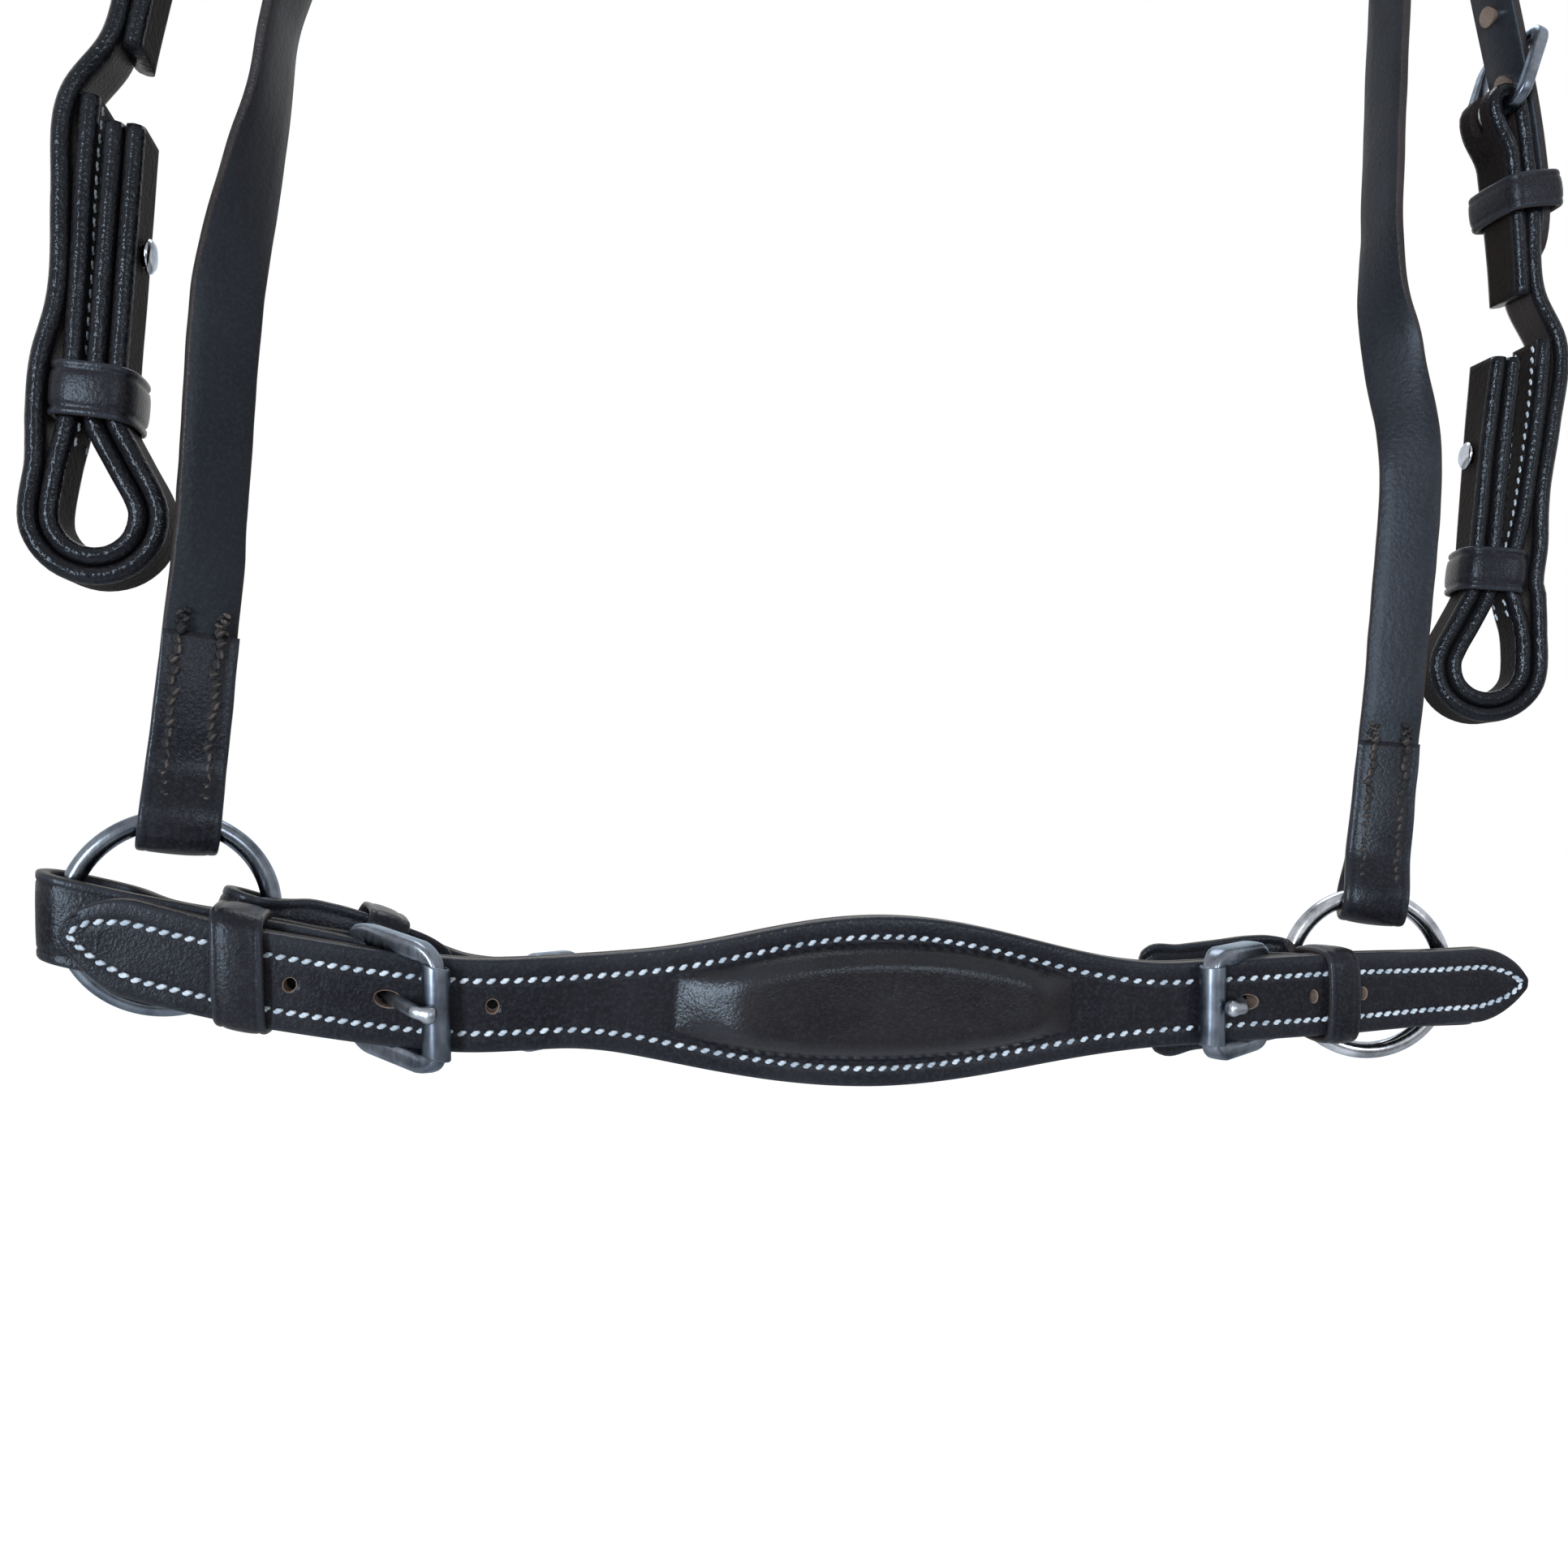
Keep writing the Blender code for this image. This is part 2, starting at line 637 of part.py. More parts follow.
def chape_spine(side):
    """The straight line of a nose buckle and its chape, from the front rod through the tongue's hole."""
    slant = NOSE_RISES[side] + NOSE_SKEWS[side]
    aim = Vector((side * math.cos(slant), 0, math.sin(slant)))
    hole = Vector((side * NOSE_HOLE_SPREAD, 0, nose_line(side * NOSE_HOLE_SPREAD)))
    start = hole - aim * TONGUE_HOLE_SHARE * NOSE_BUCKLE_LENGTH
    return Spine([start, start + aim * (RING_SPREAD - NOSE_HOLE_SPREAD)], [(0, 0, side)] * 2)


def add_nose_side(side, holes):
    """One side's chape, buckle and keeper."""
    spine = chape_spine(side)
    buckle = Buckle(spine, 0, NOSE_THICK, NOSE_WIDTH, NOSE_BUCKLE_LENGTH, CHAPE_THICK, roller=True)
    word = side_name(side)
    buckle.frame_piece("nose_buckle_frame_" + word)
    buckle.roller_piece("nose_roller_" + word)
    buckle.tongue_piece("nose_tongue_" + word)
    buckle.strap_hole(holes)
    limb_x = RING_SPREAD + RING_RADIUS * math.cos(RING_YAW)
    ring_limb = (limb_x - abs(spine.at(0).x)) / abs(spine.aim(0).x)
    ring_radius = RING_WIRE + CHAPE_RING_ROOM + CHAPE_THICK / 2
    fold_out = buckle.layer_out - ring_radius
    easing = 2 * ring_radius
    knots = buckle.bar_turn(CHAPE_WIDTH)
    knots += spread([
        buckle.knot(NOSE_BUCKLE_LENGTH + 4 * buckle.fold_radius, buckle.back_layer_out, CHAPE_WIDTH),
        buckle.knot(ring_limb - 2 * easing, buckle.back_layer_out, CHAPE_WIDTH),
        buckle.knot(ring_limb - easing, fold_out - ring_radius, CHAPE_WIDTH),
    ])
    knots += turn(ring_limb, fold_out, ring_radius, 270, 450, CHAPE_WIDTH, 8)
    knots += spread([
        buckle.knot(ring_limb - easing, buckle.layer_out, CHAPE_WIDTH),
        buckle.knot(NOSE_BUCKLE_LENGTH + STEP / 2, buckle.layer_out, CHAPE_WIDTH),
    ])
    chape = add_piece("nose_chape_" + word, ribbon(follow(spine, knots), CHAPE_THICK, closed=True), LEATHER)
    cut(chape, buckle.chape_slot("nose_chape_slot_" + word))

    keeper_s = (NOSE_KEEPER_SPREAD - abs(spine.at(0).x)) / abs(spine.aim(0).x)
    chape_place = spine.at(keeper_s)
    apart = chape_place.z - nose_line(side * NOSE_KEEPER_SPREAD)
    keeper_spine = Spine([spine.at(0), chape_place - Vector((0, 0, apart / 2))], [(0, 0, side)] * 2)
    low_out = buckle.back_layer_out - CHAPE_THICK / 2
    add_keeper("nose_keeper_" + word, keeper_spine, keeper_spine.length, low_out, NOSE_THICK / 2,
               NOSE_WIDTH + apart, KEEPER_LENGTH, KEEPER_THICK)


def add_plain_holes(holes):
    """The round holes of both billets that no tongue stands in."""
    for side in (-1, 1):
        spine = nose_spine(side)
        for i in range(HOLE_COUNT):
            reach = HOLE_FIRST + HOLE_PITCH * i + side * NOSE_SHIFT
            if abs(reach - NOSE_HOLE_SPREAD) > HOLE_PITCH / 2:
                s = spine.past(reach)
                oval(holes, spine, s, HOLE_RADIUS, HOLE_RADIUS, NOSE_THICK / 2 + OVERRUN / 4)


def ring_middle(side):
    return Vector((side * RING_SPREAD, RING_DEPTH, 0))


def ring_plane(side):
    """The direction from a ring's middle to its outer limb, which stands nearer the front."""
    return Vector((side * math.cos(RING_YAW), -math.sin(RING_YAW), 0))


def add_ring(side):
    middle, flat = ring_middle(side), ring_plane(side)
    count = 28
    turns = [2 * math.pi * i / count for i in range(count)]
    points = [middle + (flat * math.cos(t) + Vector((0, 0, 1)) * math.sin(t)) * RING_RADIUS for t in turns]
    add_piece("ring_" + side_name(side), rod(points, RING_WIRE, 8, closed=True), STEEL, middle)


def chin_spine():
    """The chin strap's line, from the right ring's inner limb back round the chin to the left."""
    limb = ring_middle(1) - ring_plane(1) * RING_RADIUS * math.cos(CHIN_DROP)
    limb.z = -RING_RADIUS * math.sin(CHIN_DROP)
    limb.y += GAP
    reach_shares = (1, 0.84, 0.65, 0.40, 0.20, 0)
    back_shares = (0, 0.12, 0.34, 0.70, 0.93, 1)
    sag_shares = (0, 0.26, 0.515, 0.775, 0.945, 1)
    half = [(limb.x * reach, limb.y + (CHIN_BACK - limb.y) * back, limb.z - CHIN_SAG * sag)
            for reach, back, sag in zip(reach_shares, back_shares, sag_shares)]
    places = half + [(-x, y, z) for x, y, z in half[-2::-1]]
    return Spine(places, [(0, 0, 1)] * len(places))


def guard_widths(start, direction):
    """Widths along a guard from its rounded end, as distance along and width."""
    rows = [(0, GUARD_WIDTH - 2 * GUARD_CORNER), (0.3 * GUARD_CORNER, GUARD_WIDTH - 0.6 * GUARD_CORNER),
            (GUARD_CORNER, GUARD_WIDTH), (0.72 * GUARD_LENGTH, GUARD_WIDTH),
            (0.92 * GUARD_LENGTH, CHIN_SLOT_WIDTH)]
    return [(start + direction * far, wide) for far, wide in rows]


def add_chin():
    """The chin strap, the left tab that carries its buckle, and the keeper."""
    spine = chin_spine()
    total = spine.length
    shift = RING_WIRE / 2
    radius = RING_WIRE + CHIN_RING_ROOM + CHIN_THICK / 2
    layer = (CHIN_THICK + FOLD_GAP) / 2
    easing = 2.6 * radius

    tab = 2 * layer
    bar_s = total - spine.past(CHIN_BAR_SPREAD)
    buckle = Buckle(spine, bar_s - SMALL_BUCKLE_LENGTH, CHIN_THICK, CHIN_WIDTH, SMALL_BUCKLE_LENGTH,
                    CHIN_THICK, out=2 * tab)
    knots = spread([(s, -tab, wide) for s, wide in guard_widths(total - GUARD_LENGTH, 1)])
    knots += turn(total + shift, 0, radius, -90, 90, CHIN_SLOT_WIDTH)
    knots += [(total - easing, tab, CHIN_SLOT_WIDTH), (total - 1.4 * easing, tab, CHIN_WIDTH)]
    knots += spread([knots[-1], buckle.knot(SMALL_BUCKLE_LENGTH, buckle.layer_out, CHIN_WIDTH)])[1:-1]
    knots += buckle.bar_turn(CHIN_WIDTH)
    past_bar = SMALL_BUCKLE_LENGTH + 4 * buckle.fold_radius
    knots += spread([buckle.knot(past_bar, buckle.back_layer_out, CHIN_WIDTH),
                     (total - 1.1 * easing, 0, CHIN_WIDTH)])
    piece = add_piece("chin_tab_left", ribbon(follow(spine, knots), CHIN_THICK), LEATHER)
    cut(piece, buckle.chape_slot("chin_tab_slot"))
    buckle.frame_piece("chin_buckle_frame")
    buckle.tongue_piece("chin_tongue")

    strap_out = 2 * tab
    knots = spread([(s, -layer, wide) for s, wide in guard_widths(GUARD_LENGTH, -1)])
    knots += turn(-shift, 0, radius, 270, 90, CHIN_SLOT_WIDTH)
    knots += spread([(easing, layer, CHIN_SLOT_WIDTH), (1.4 * easing, layer, CHIN_WIDTH),
                     (total / 2, layer, CHIN_WIDTH), (buckle.start - STEP, strap_out, CHIN_WIDTH)])
    tip_s = total - (ring_middle(1).x - RING_RADIUS - CHIN_TIP_SPREAD) - 0.5 * easing
    knots += spread([knots[-1], (tip_s - NOSE_TIP_LENGTH, strap_out, CHIN_WIDTH)])[1:]
    knots += tip(tip_s, CHIN_WIDTH, NOSE_TIP_LENGTH, strap_out)[1:]
    piece = add_piece("chin_strap", ribbon(follow(spine, knots), CHIN_THICK), LEATHER)
    holes = bmesh.new()
    buckle.strap_hole(holes)
    cut(piece, cutter("chin_strap_holes", holes))
    keeper_s = bar_s + (CHIN_KEEPER_SPREAD - CHIN_BAR_SPREAD)
    add_keeper("chin_keeper", spine, keeper_s, -tab - CHIN_THICK / 2, strap_out + CHIN_THICK / 2,
               GUARD_WIDTH, SMALL_KEEPER_LENGTH, SMALL_KEEPER_THICK)


def arch(radius, depth, count=12):
    """Places over the poll from the right shoulder to the left one."""
    found = []
    for i in range(count + 1):
        turned = math.pi * i / count
        found.append((radius * math.cos(turned), depth, ARCH_HEIGHT + radius * math.sin(turned)))
    return found


def slip_side():
    """The right sliphead's line from the ring's top to the shoulder, and its lean at each place."""
    flap_top = RING_RADIUS + SLIP_FLAP
    rows = [(RING_SPREAD, RING_DEPTH, RING_RADIUS, RING_YAW), (RING_SPREAD, RING_DEPTH, flap_top, RING_YAW)]
    inward_shares = (0, 0.2, 0.5, 0.85, 1)
    depth_shares = (0, 0.5, 0.6, 0.6, 0.75)
    height_shares = (0.34, 0.42, 0.50, 0.78, 0.90)
    turn_shares = (0.1, 0.48, 1, 1, 1)
    for inward, depth, height, turned in zip(inward_shares, depth_shares, height_shares, turn_shares):
        rows.append((RING_SPREAD + (SLIP_ARCH - RING_SPREAD) * inward,
                     RING_DEPTH + (CROWN_DEPTH - RING_DEPTH) * depth,
                     ARCH_HEIGHT * height, RING_YAW + (math.pi / 2 - RING_YAW) * turned))
    return rows


def sliphead_spine():
    """From the right ring's top over the poll and down to the left ring's top."""
    rows = slip_side()
    crown = arch(SLIP_ARCH, CROWN_DEPTH)
    places = [(x, y, z) for x, y, z, _ in rows] + crown + [(-x, y, z) for x, y, z, _ in rows[::-1]]
    acrosses = [(math.cos(lean), -math.sin(lean), 0) for _, _, _, lean in rows] + [(0, -1, 0)] * len(crown)
    acrosses += [(-math.cos(lean), -math.sin(lean), 0) for _, _, _, lean in rows[::-1]]
    return Spine(places, acrosses)


def hanger_knots(s, direction):
    """Knots of a hanger's flap and its fold round the ring, ending on the main layer."""
    radius = RING_WIRE + SLIP_FOLD_ROOM + SLIP_THICK / 2
    layer = (SLIP_THICK + GAP) / 2
    easing = 2 * radius
    drop = RING_WIRE * 0.6
    flap = [(s + direction * SLIP_FLAP, -layer, SLIP_WIDTH), (s + direction * easing, -layer, SLIP_WIDTH)]
    angles = (270, 90) if direction > 0 else (-90, 90)
    fold = turn(s - direction * drop, 0, radius, *angles, SLIP_WIDTH)
    main = [(s + direction * easing, layer, SLIP_WIDTH), (s + direction * SLIP_FLAP, layer, SLIP_WIDTH),
            (s + direction * (SLIP_FLAP + easing), 0, SLIP_WIDTH)]
    return spread(flap) + fold + spread(main)


def add_sliphead():
    """The sliphead from the right ring over the poll, the left hanger, and the buckle between them."""
    spine = sliphead_spine()
    total = spine.length
    bar_s = total - spine.nearest(SLIP_BAR_HEIGHT)
    tip_s = bar_s + SLIP_OVERLAP
    rod_s = bar_s - SMALL_BUCKLE_LENGTH
    buckle = Buckle(spine, rod_s, SLIP_THICK, SLIP_WIDTH, SMALL_BUCKLE_LENGTH, SLIP_THICK)
    knots = hanger_knots(0, 1)
    knots += spread([knots[-1], (tip_s - NOSE_TIP_LENGTH, 0, SLIP_WIDTH)], 1.6 * STEP)[1:]
    knots += tip(tip_s, SLIP_WIDTH, NOSE_TIP_LENGTH, 0)[1:]
    piece = add_piece("sliphead", ribbon(follow(spine, knots), SLIP_THICK), LEATHER)
    holes = bmesh.new()
    buckle.strap_hole(holes)
    oval(holes, spine, bar_s + 0.5 * HOLE_PITCH, HOLE_RADIUS, HOLE_RADIUS, SLIP_THICK)
    oval(holes, spine, rod_s - 0.5 * HOLE_PITCH, HOLE_RADIUS, HOLE_RADIUS, SLIP_THICK)
    cut(piece, cutter("sliphead_holes", holes))

    knots = hanger_knots(total, -1)
    low_s = tip_s + NOSE_TIP_LENGTH
    knots += spread([knots[-1], (low_s, 0, SLIP_WIDTH), (tip_s, buckle.layer_out, SLIP_WIDTH),
                     (bar_s + STEP / 4, buckle.layer_out, SLIP_WIDTH)], 1.6 * STEP)[1:]
    knots += buckle.bar_turn(SLIP_WIDTH)
    knots += spread([(bar_s + 3.6 * buckle.fold_radius, buckle.back_layer_out, SLIP_WIDTH),
                     (tip_s - STEP / 2, buckle.back_layer_out, SLIP_WIDTH)], 1.6 * STEP)
    hanger = add_piece("hanger_left", ribbon(follow(spine, knots), SLIP_THICK), LEATHER)
    cut(hanger, buckle.chape_slot("hanger_slot"))
    buckle.frame_piece("sliphead_buckle_frame")
    buckle.tongue_piece("sliphead_tongue")
    add_keeper("sliphead_keeper", spine, bar_s + 1.8 * STEP, buckle.back_layer_out - SLIP_THICK / 2,
               SLIP_THICK / 2, SLIP_WIDTH, SMALL_KEEPER_LENGTH, SMALL_KEEPER_THICK)


def cheek_spine(side):
    """From the shoulder down the cheek, round the bit loop and back up inside."""
    sway = CHEEK_SWAYS[side]
    main, back, loop = MAIN_LEG_SPREAD + sway, BACK_LEG_SPREAD + sway, LOOP_SPREAD + sway
    rows = [(HEAD_ARCH, CHEEK_LEG_DEPTH, ARCH_HEIGHT),
            (HEAD_ARCH, CHEEK_LEG_DEPTH, BROW_HEIGHT + BROW_WIDTH / 4)]
    outward_shares = (0.012, 0.25, 0.55, 0.82, 1, 1)
    depth_shares = (0, 0.5, 1, 1, 1, 1)
    height_shares = (1, 0.81, 0.65, 0.466, 0.263, 0.091)
    for outward, depth, height in zip(outward_shares, depth_shares, height_shares):
        rows.append((HEAD_ARCH + (main - HEAD_ARCH) * outward,
                     CHEEK_LEG_DEPTH + (CHEEK_DEPTH - CHEEK_LEG_DEPTH) * depth,
                     LOOP_KEEPER_HEIGHT + (THROAT_TOP - LOOP_KEEPER_HEIGHT) * height))
    rows += [(main, CHEEK_DEPTH, LOOP_KEEPER_HEIGHT), (main, CHEEK_DEPTH, LOOP_KEEPER_HEIGHT - LOOP_RADIUS)]
    for degrees in (0, -30, -60, -90, -120, -150, -180, -206):
        turned = math.radians(degrees)
        rows.append((loop + LOOP_RADIUS * math.cos(turned), CHEEK_DEPTH,
                     LOOP_HEIGHT + LOOP_RADIUS * math.sin(turned)))
    edge_x, _, edge_z = rows[-1]
    low = LOOP_KEEPER_HEIGHT - LOOP_KEEPER_LENGTH / 2
    rows += [((edge_x + back) / 2, CHEEK_DEPTH, (edge_z + low) / 2), (back - GAP, CHEEK_DEPTH, low),
             (back, CHEEK_DEPTH, LOOP_KEEPER_HEIGHT), (back, CHEEK_DEPTH, STUD_HEIGHT),
             (back, CHEEK_DEPTH, BACK_LEG_TOP)]
    return Spine([(side * x, y, z) for x, y, z in rows], [(0, side, 0)] * len(rows))


def add_cheek(side):
    """A cheekpiece's two layers, its bit-loop keeper and stud, and the buckle at its top."""
    word = side_name(side)
    spine = cheek_spine(side)
    bar_s = spine.nearest(CHEEK_BAR_HEIGHT)
    rod_s = bar_s - SMALL_BUCKLE_LENGTH
    buckle = Buckle(spine, rod_s, HEAD_THICK, CHEEK_WIDTH, SMALL_BUCKLE_LENGTH, CHEEK_LAYER)
    keeper_s = spine.nearest(LOOP_KEEPER_HEIGHT)
    keeper_half = LOOP_KEEPER_LENGTH / 2
    easing = 2 * keeper_half
    bulge = LOOP_KEEPER_THICK + 2 * GAP
    top_flap = bar_s + SMALL_BUCKLE_LENGTH * 3
    start_loop = keeper_s + keeper_half + easing
    out = CHEEK_LAYER_OFFSET
    w = CHEEK_WIDTH
    knots = spread([(top_flap, buckle.back_layer_out, w),
                    (bar_s + 3.6 * buckle.fold_radius, buckle.back_layer_out, w)], 2 * STEP)
    knots += buckle.bar_turn(w, backwards=True)
    knots += spread([(bar_s + STEP / 3, buckle.layer_out, w), (top_flap, buckle.layer_out, w),
                     (top_flap + STEP, out, w), (keeper_s - keeper_half - easing, out, w),
                     (keeper_s - keeper_half, out + bulge, w), (keeper_s + keeper_half, out + bulge, w),
                     (start_loop, out, w)], 2 * STEP)
    back_s = spine.length - (BACK_LEG_TOP - LOOP_KEEPER_HEIGHT)
    loop_knots = spread([(start_loop, 0, w), (back_s, 0, w)], STEP / 3)
    knots += [(s, out, w) for s, _, _ in loop_knots[1:]]
    knots += [(spine.length - (BACK_LEG_TOP - STUD_HEIGHT), out, w), (spine.length, out, w)]
    outer = add_piece("cheek_outer_" + word, ribbon(follow(spine, knots), CHEEK_LAYER), LEATHER)
    cut(outer, buckle.chape_slot("cheek_slot_" + word))

    knots = spread([(top_flap + STEP, -out, w), (keeper_s, -out, w), (start_loop, -out, w)], 2 * STEP)
    knots += [(s, -out, w) for s, _, _ in loop_knots[1:]]
    knots += [(spine.length - (BACK_LEG_TOP - STUD_HEIGHT), -out, w), (spine.length, -out, w)]
    inner = add_piece("cheek_inner_" + word, ribbon(follow(spine, knots), CHEEK_LAYER), LEATHER)
    holes = bmesh.new()
    stud_s = spine.length - (BACK_LEG_TOP - STUD_HEIGHT)
    oval(holes, spine, stud_s, STUD_RADIUS + 2 * GAP, STUD_RADIUS + 2 * GAP, CHEEK_LAYER + GAP)
    stud_cutter = cutter("stud_hole_" + word, holes)
    cut(outer, stud_cutter)
    cut(inner, stud_cutter)

    buckle.frame_piece("cheek_buckle_frame_" + word)
    buckle.tongue_piece("cheek_tongue_" + word)
    add_keeper("cheek_keeper_" + word, spine, bar_s + 1.9 * STEP, buckle.back_layer_out - CHEEK_LAYER / 2,
               HEAD_THICK / 2, CHEEK_WIDTH + EDGE * 2, SMALL_KEEPER_LENGTH, SMALL_KEEPER_THICK)
    back_leg = MAIN_LEG_SPREAD - BACK_LEG_SPREAD
    add_keeper("loop_keeper_" + word, spine, keeper_s, -back_leg - CHEEK_LAYER - GAP, 0, CHEEK_WIDTH,
               LOOP_KEEPER_LENGTH, LOOP_KEEPER_THICK)
    add_stud(side)
    return spine, buckle


def add_stud(side):
    """The hook stud that holds a bit loop shut, from the main leg through the returned one."""
    start = MAIN_LEG_SPREAD - CHEEK_LAYER - 2 * GAP
    end = BACK_LEG_SPREAD - CHEEK_LAYER - 3 * GAP
    outline = [(start, STUD_RADIUS), (end, STUD_RADIUS), (end, STUD_HEAD_RADIUS),
               (end - STUD_HEAD_THICK / 2, STUD_HEAD_RADIUS), (end - STUD_HEAD_THICK, STUD_RADIUS)]
    sides = 10
    sections = []
    for spread_out, radius in outline:
        ring = []
        middle = Vector((side * (spread_out + CHEEK_SWAYS[side]), CHEEK_DEPTH, STUD_HEIGHT))
        for i in range(sides):
            turned = 2 * math.pi * i / sides
            ring.append(middle + Vector((0, math.cos(turned), math.sin(turned))) * radius)
        sections.append(ring)
    add_piece("hook_stud_" + side_name(side), loft(sections), STEEL)


def throat_spine(side):
    """From one shoulder down and back under the throat to the other."""
    rows = [(HEAD_ARCH, THROAT_LEG_DEPTH, ARCH_HEIGHT), (HEAD_ARCH, THROAT_LEG_DEPTH, THROAT_TOP)]
    outward_shares = (1, 1, 1, 0.95, 0.74, 0.40)
    back_shares = (0.06, 0.27, 0.48, 0.64, 0.83, 0.95)
    height_shares = (0.86, 0.55, 0.24, 0.07, 0.01, 0)
    for outward, back, height in zip(outward_shares, back_shares, height_shares):
        rows.append((HEAD_ARCH * outward, THROAT_LEG_DEPTH + (THROAT_REACH - THROAT_LEG_DEPTH) * back,
                     THROAT_HEIGHT + THROAT_DROP * height))
    rows.append((0, THROAT_REACH, THROAT_HEIGHT))
    places = rows + [(-x, y, z) for x, y, z in rows[-2::-1]]
    return Spine([(side * x, y, z) for x, y, z in places], [(0, side, 0)] * len(places))


def add_throatlash():
    """The throatlash, with a buckle at each end for the headpiece's rear legs."""
    spines = {side: throat_spine(side) for side in (1, -1)}
    buckles = {}
    for side, spine in spines.items():
        buckles[side] = Buckle(spine, THROAT_ROD_START, HEAD_THICK, THROAT_WIDTH, SMALL_BUCKLE_LENGTH,
                               THROAT_THICK)
    buckle = buckles[1]
    spine = spines[1]
    total = spine.length
    w = THROAT_WIDTH
    bar_s = THROAT_ROD_START + SMALL_BUCKLE_LENGTH
    flap_s = bar_s + 2.2 * STEP
    half = spread([(flap_s, buckle.back_layer_out, w),
                   (bar_s + 3.6 * buckle.fold_radius, buckle.back_layer_out, w)])
    half += buckle.bar_turn(w, backwards=True)
    half += spread([(bar_s + STEP / 3, buckle.layer_out, w), (total / 2, buckle.layer_out, w)])
    knots = half + [(total - s, out, wide) for s, out, wide in half[-2::-1]]
    piece = add_piece("throatlash", ribbon(follow(spine, knots), THROAT_THICK), LEATHER)
    for side, found in buckles.items():
        word = side_name(side)
        cut(piece, found.chape_slot("throat_slot_" + word))
        found.frame_piece("throat_buckle_frame_" + word)
        found.tongue_piece("throat_tongue_" + word)
        add_keeper("throat_keeper_" + word, spines[side], bar_s + 1.4 * STEP,
                   found.back_layer_out - THROAT_THICK / 2, HEAD_THICK / 2, THROAT_WIDTH + 2 * EDGE,
                   SMALL_KEEPER_LENGTH, SMALL_KEEPER_THICK)
    return spines, buckles


def add_headpiece(cheeks, spines, buckles):
    """The headpiece: one leather, split each side into a cheek leg and a throat leg."""
    leg_count = 12
    rear_tip = THROAT_ROD_START + SMALL_BUCKLE_LENGTH + 1.9 * STEP
    rows = []

    def leg_row(side, share):
        cheek, _ = cheeks[side]
        front_tip = cheek.nearest(CHEEK_TIP_HEIGHT)
        narrow = 0.25 if share == 1 else (0.8 if share > 0.95 else 1)
        row = []
        cheek_end = min(1, share * leg_count / 3)
        front_width = HEAD_LEG_WIDTH + (CHEEK_WIDTH - HEAD_LEG_WIDTH) * cheek_end
        rear_width = HEAD_LEG_WIDTH + (THROAT_WIDTH - HEAD_LEG_WIDTH) * cheek_end
        legs = ((cheek, front_tip, front_width), (spines[side], rear_tip, rear_width))
        for spine, end, width in legs:
            place, _, across, outward = spine.frame(share * end)
            across = across * side
            half = width * narrow / 2
            row += [(place - across * half, outward), (place + across * half, outward)]
        return row

    shares = [i / leg_count for i in range(leg_count)] + [0.97, 1]
    for share in shares[::-1]:
        rows.append((leg_row(1, share), False))
    arch_count = 24
    edges = (-HEAD_WIDTH / 2, -HEAD_SLIT / 2, HEAD_SLIT / 2, HEAD_WIDTH / 2)
    for i in range(1, arch_count):
        turned = math.pi * i / arch_count
        outward = Vector((math.cos(turned), 0, math.sin(turned)))
        middle = Vector((0, CROWN_DEPTH, ARCH_HEIGHT)) + outward * HEAD_ARCH
        rows.append(([(middle + Vector((0, edge, 0)), outward) for edge in edges], True))
    for share in shares:
        rows.append((leg_row(-1, share), False))

    bm = bmesh.new()
    skins = {}
    for level in (-1, 1):
        skins[level] = [[bm.verts.new(place + outward * level * HEAD_THICK / 2) for place, outward in row]
                        for row, _ in rows]
    filled = set()
    for i in range(len(rows) - 1):
        whole = rows[i][1] or rows[i + 1][1]
        for j in range(3):
            if j != 1 or whole:
                filled.add((i, j))
    for i, j in filled:
        for level in (-1, 1):
            skin = skins[level]
            bm.faces.new((skin[i][j], skin[i][j + 1], skin[i + 1][j + 1], skin[i + 1][j]))
        for other, a, b in (((i - 1, j), (i, j), (i, j + 1)), ((i + 1, j), (i + 1, j), (i + 1, j + 1)),
                            ((i, j - 1), (i, j), (i + 1, j)), ((i, j + 1), (i, j + 1), (i + 1, j + 1))):
            if other not in filled:
                low, high = skins[-1], skins[1]
                bm.faces.new((low[a[0]][a[1]], low[b[0]][b[1]], high[b[0]][b[1]], high[a[0]][a[1]]))
    piece = add_piece("headpiece", bm, LEATHER)
    holes = bmesh.new()
    for side in (1, -1):
        cheek, buckle = cheeks[side]
        buckle.strap_hole(holes)
        buckles[side].strap_hole(holes)
        for shift in (-0.5, 0.5):
            s = buckle.start + (SMALL_BUCKLE_LENGTH + 0.55 * HOLE_PITCH if shift > 0 else -0.5 * HOLE_PITCH)
            oval(holes, cheek, s, HOLE_RADIUS * 0.8, HOLE_RADIUS * 0.8, HEAD_THICK)
    cut(piece, cutter("headpiece_holes", holes))


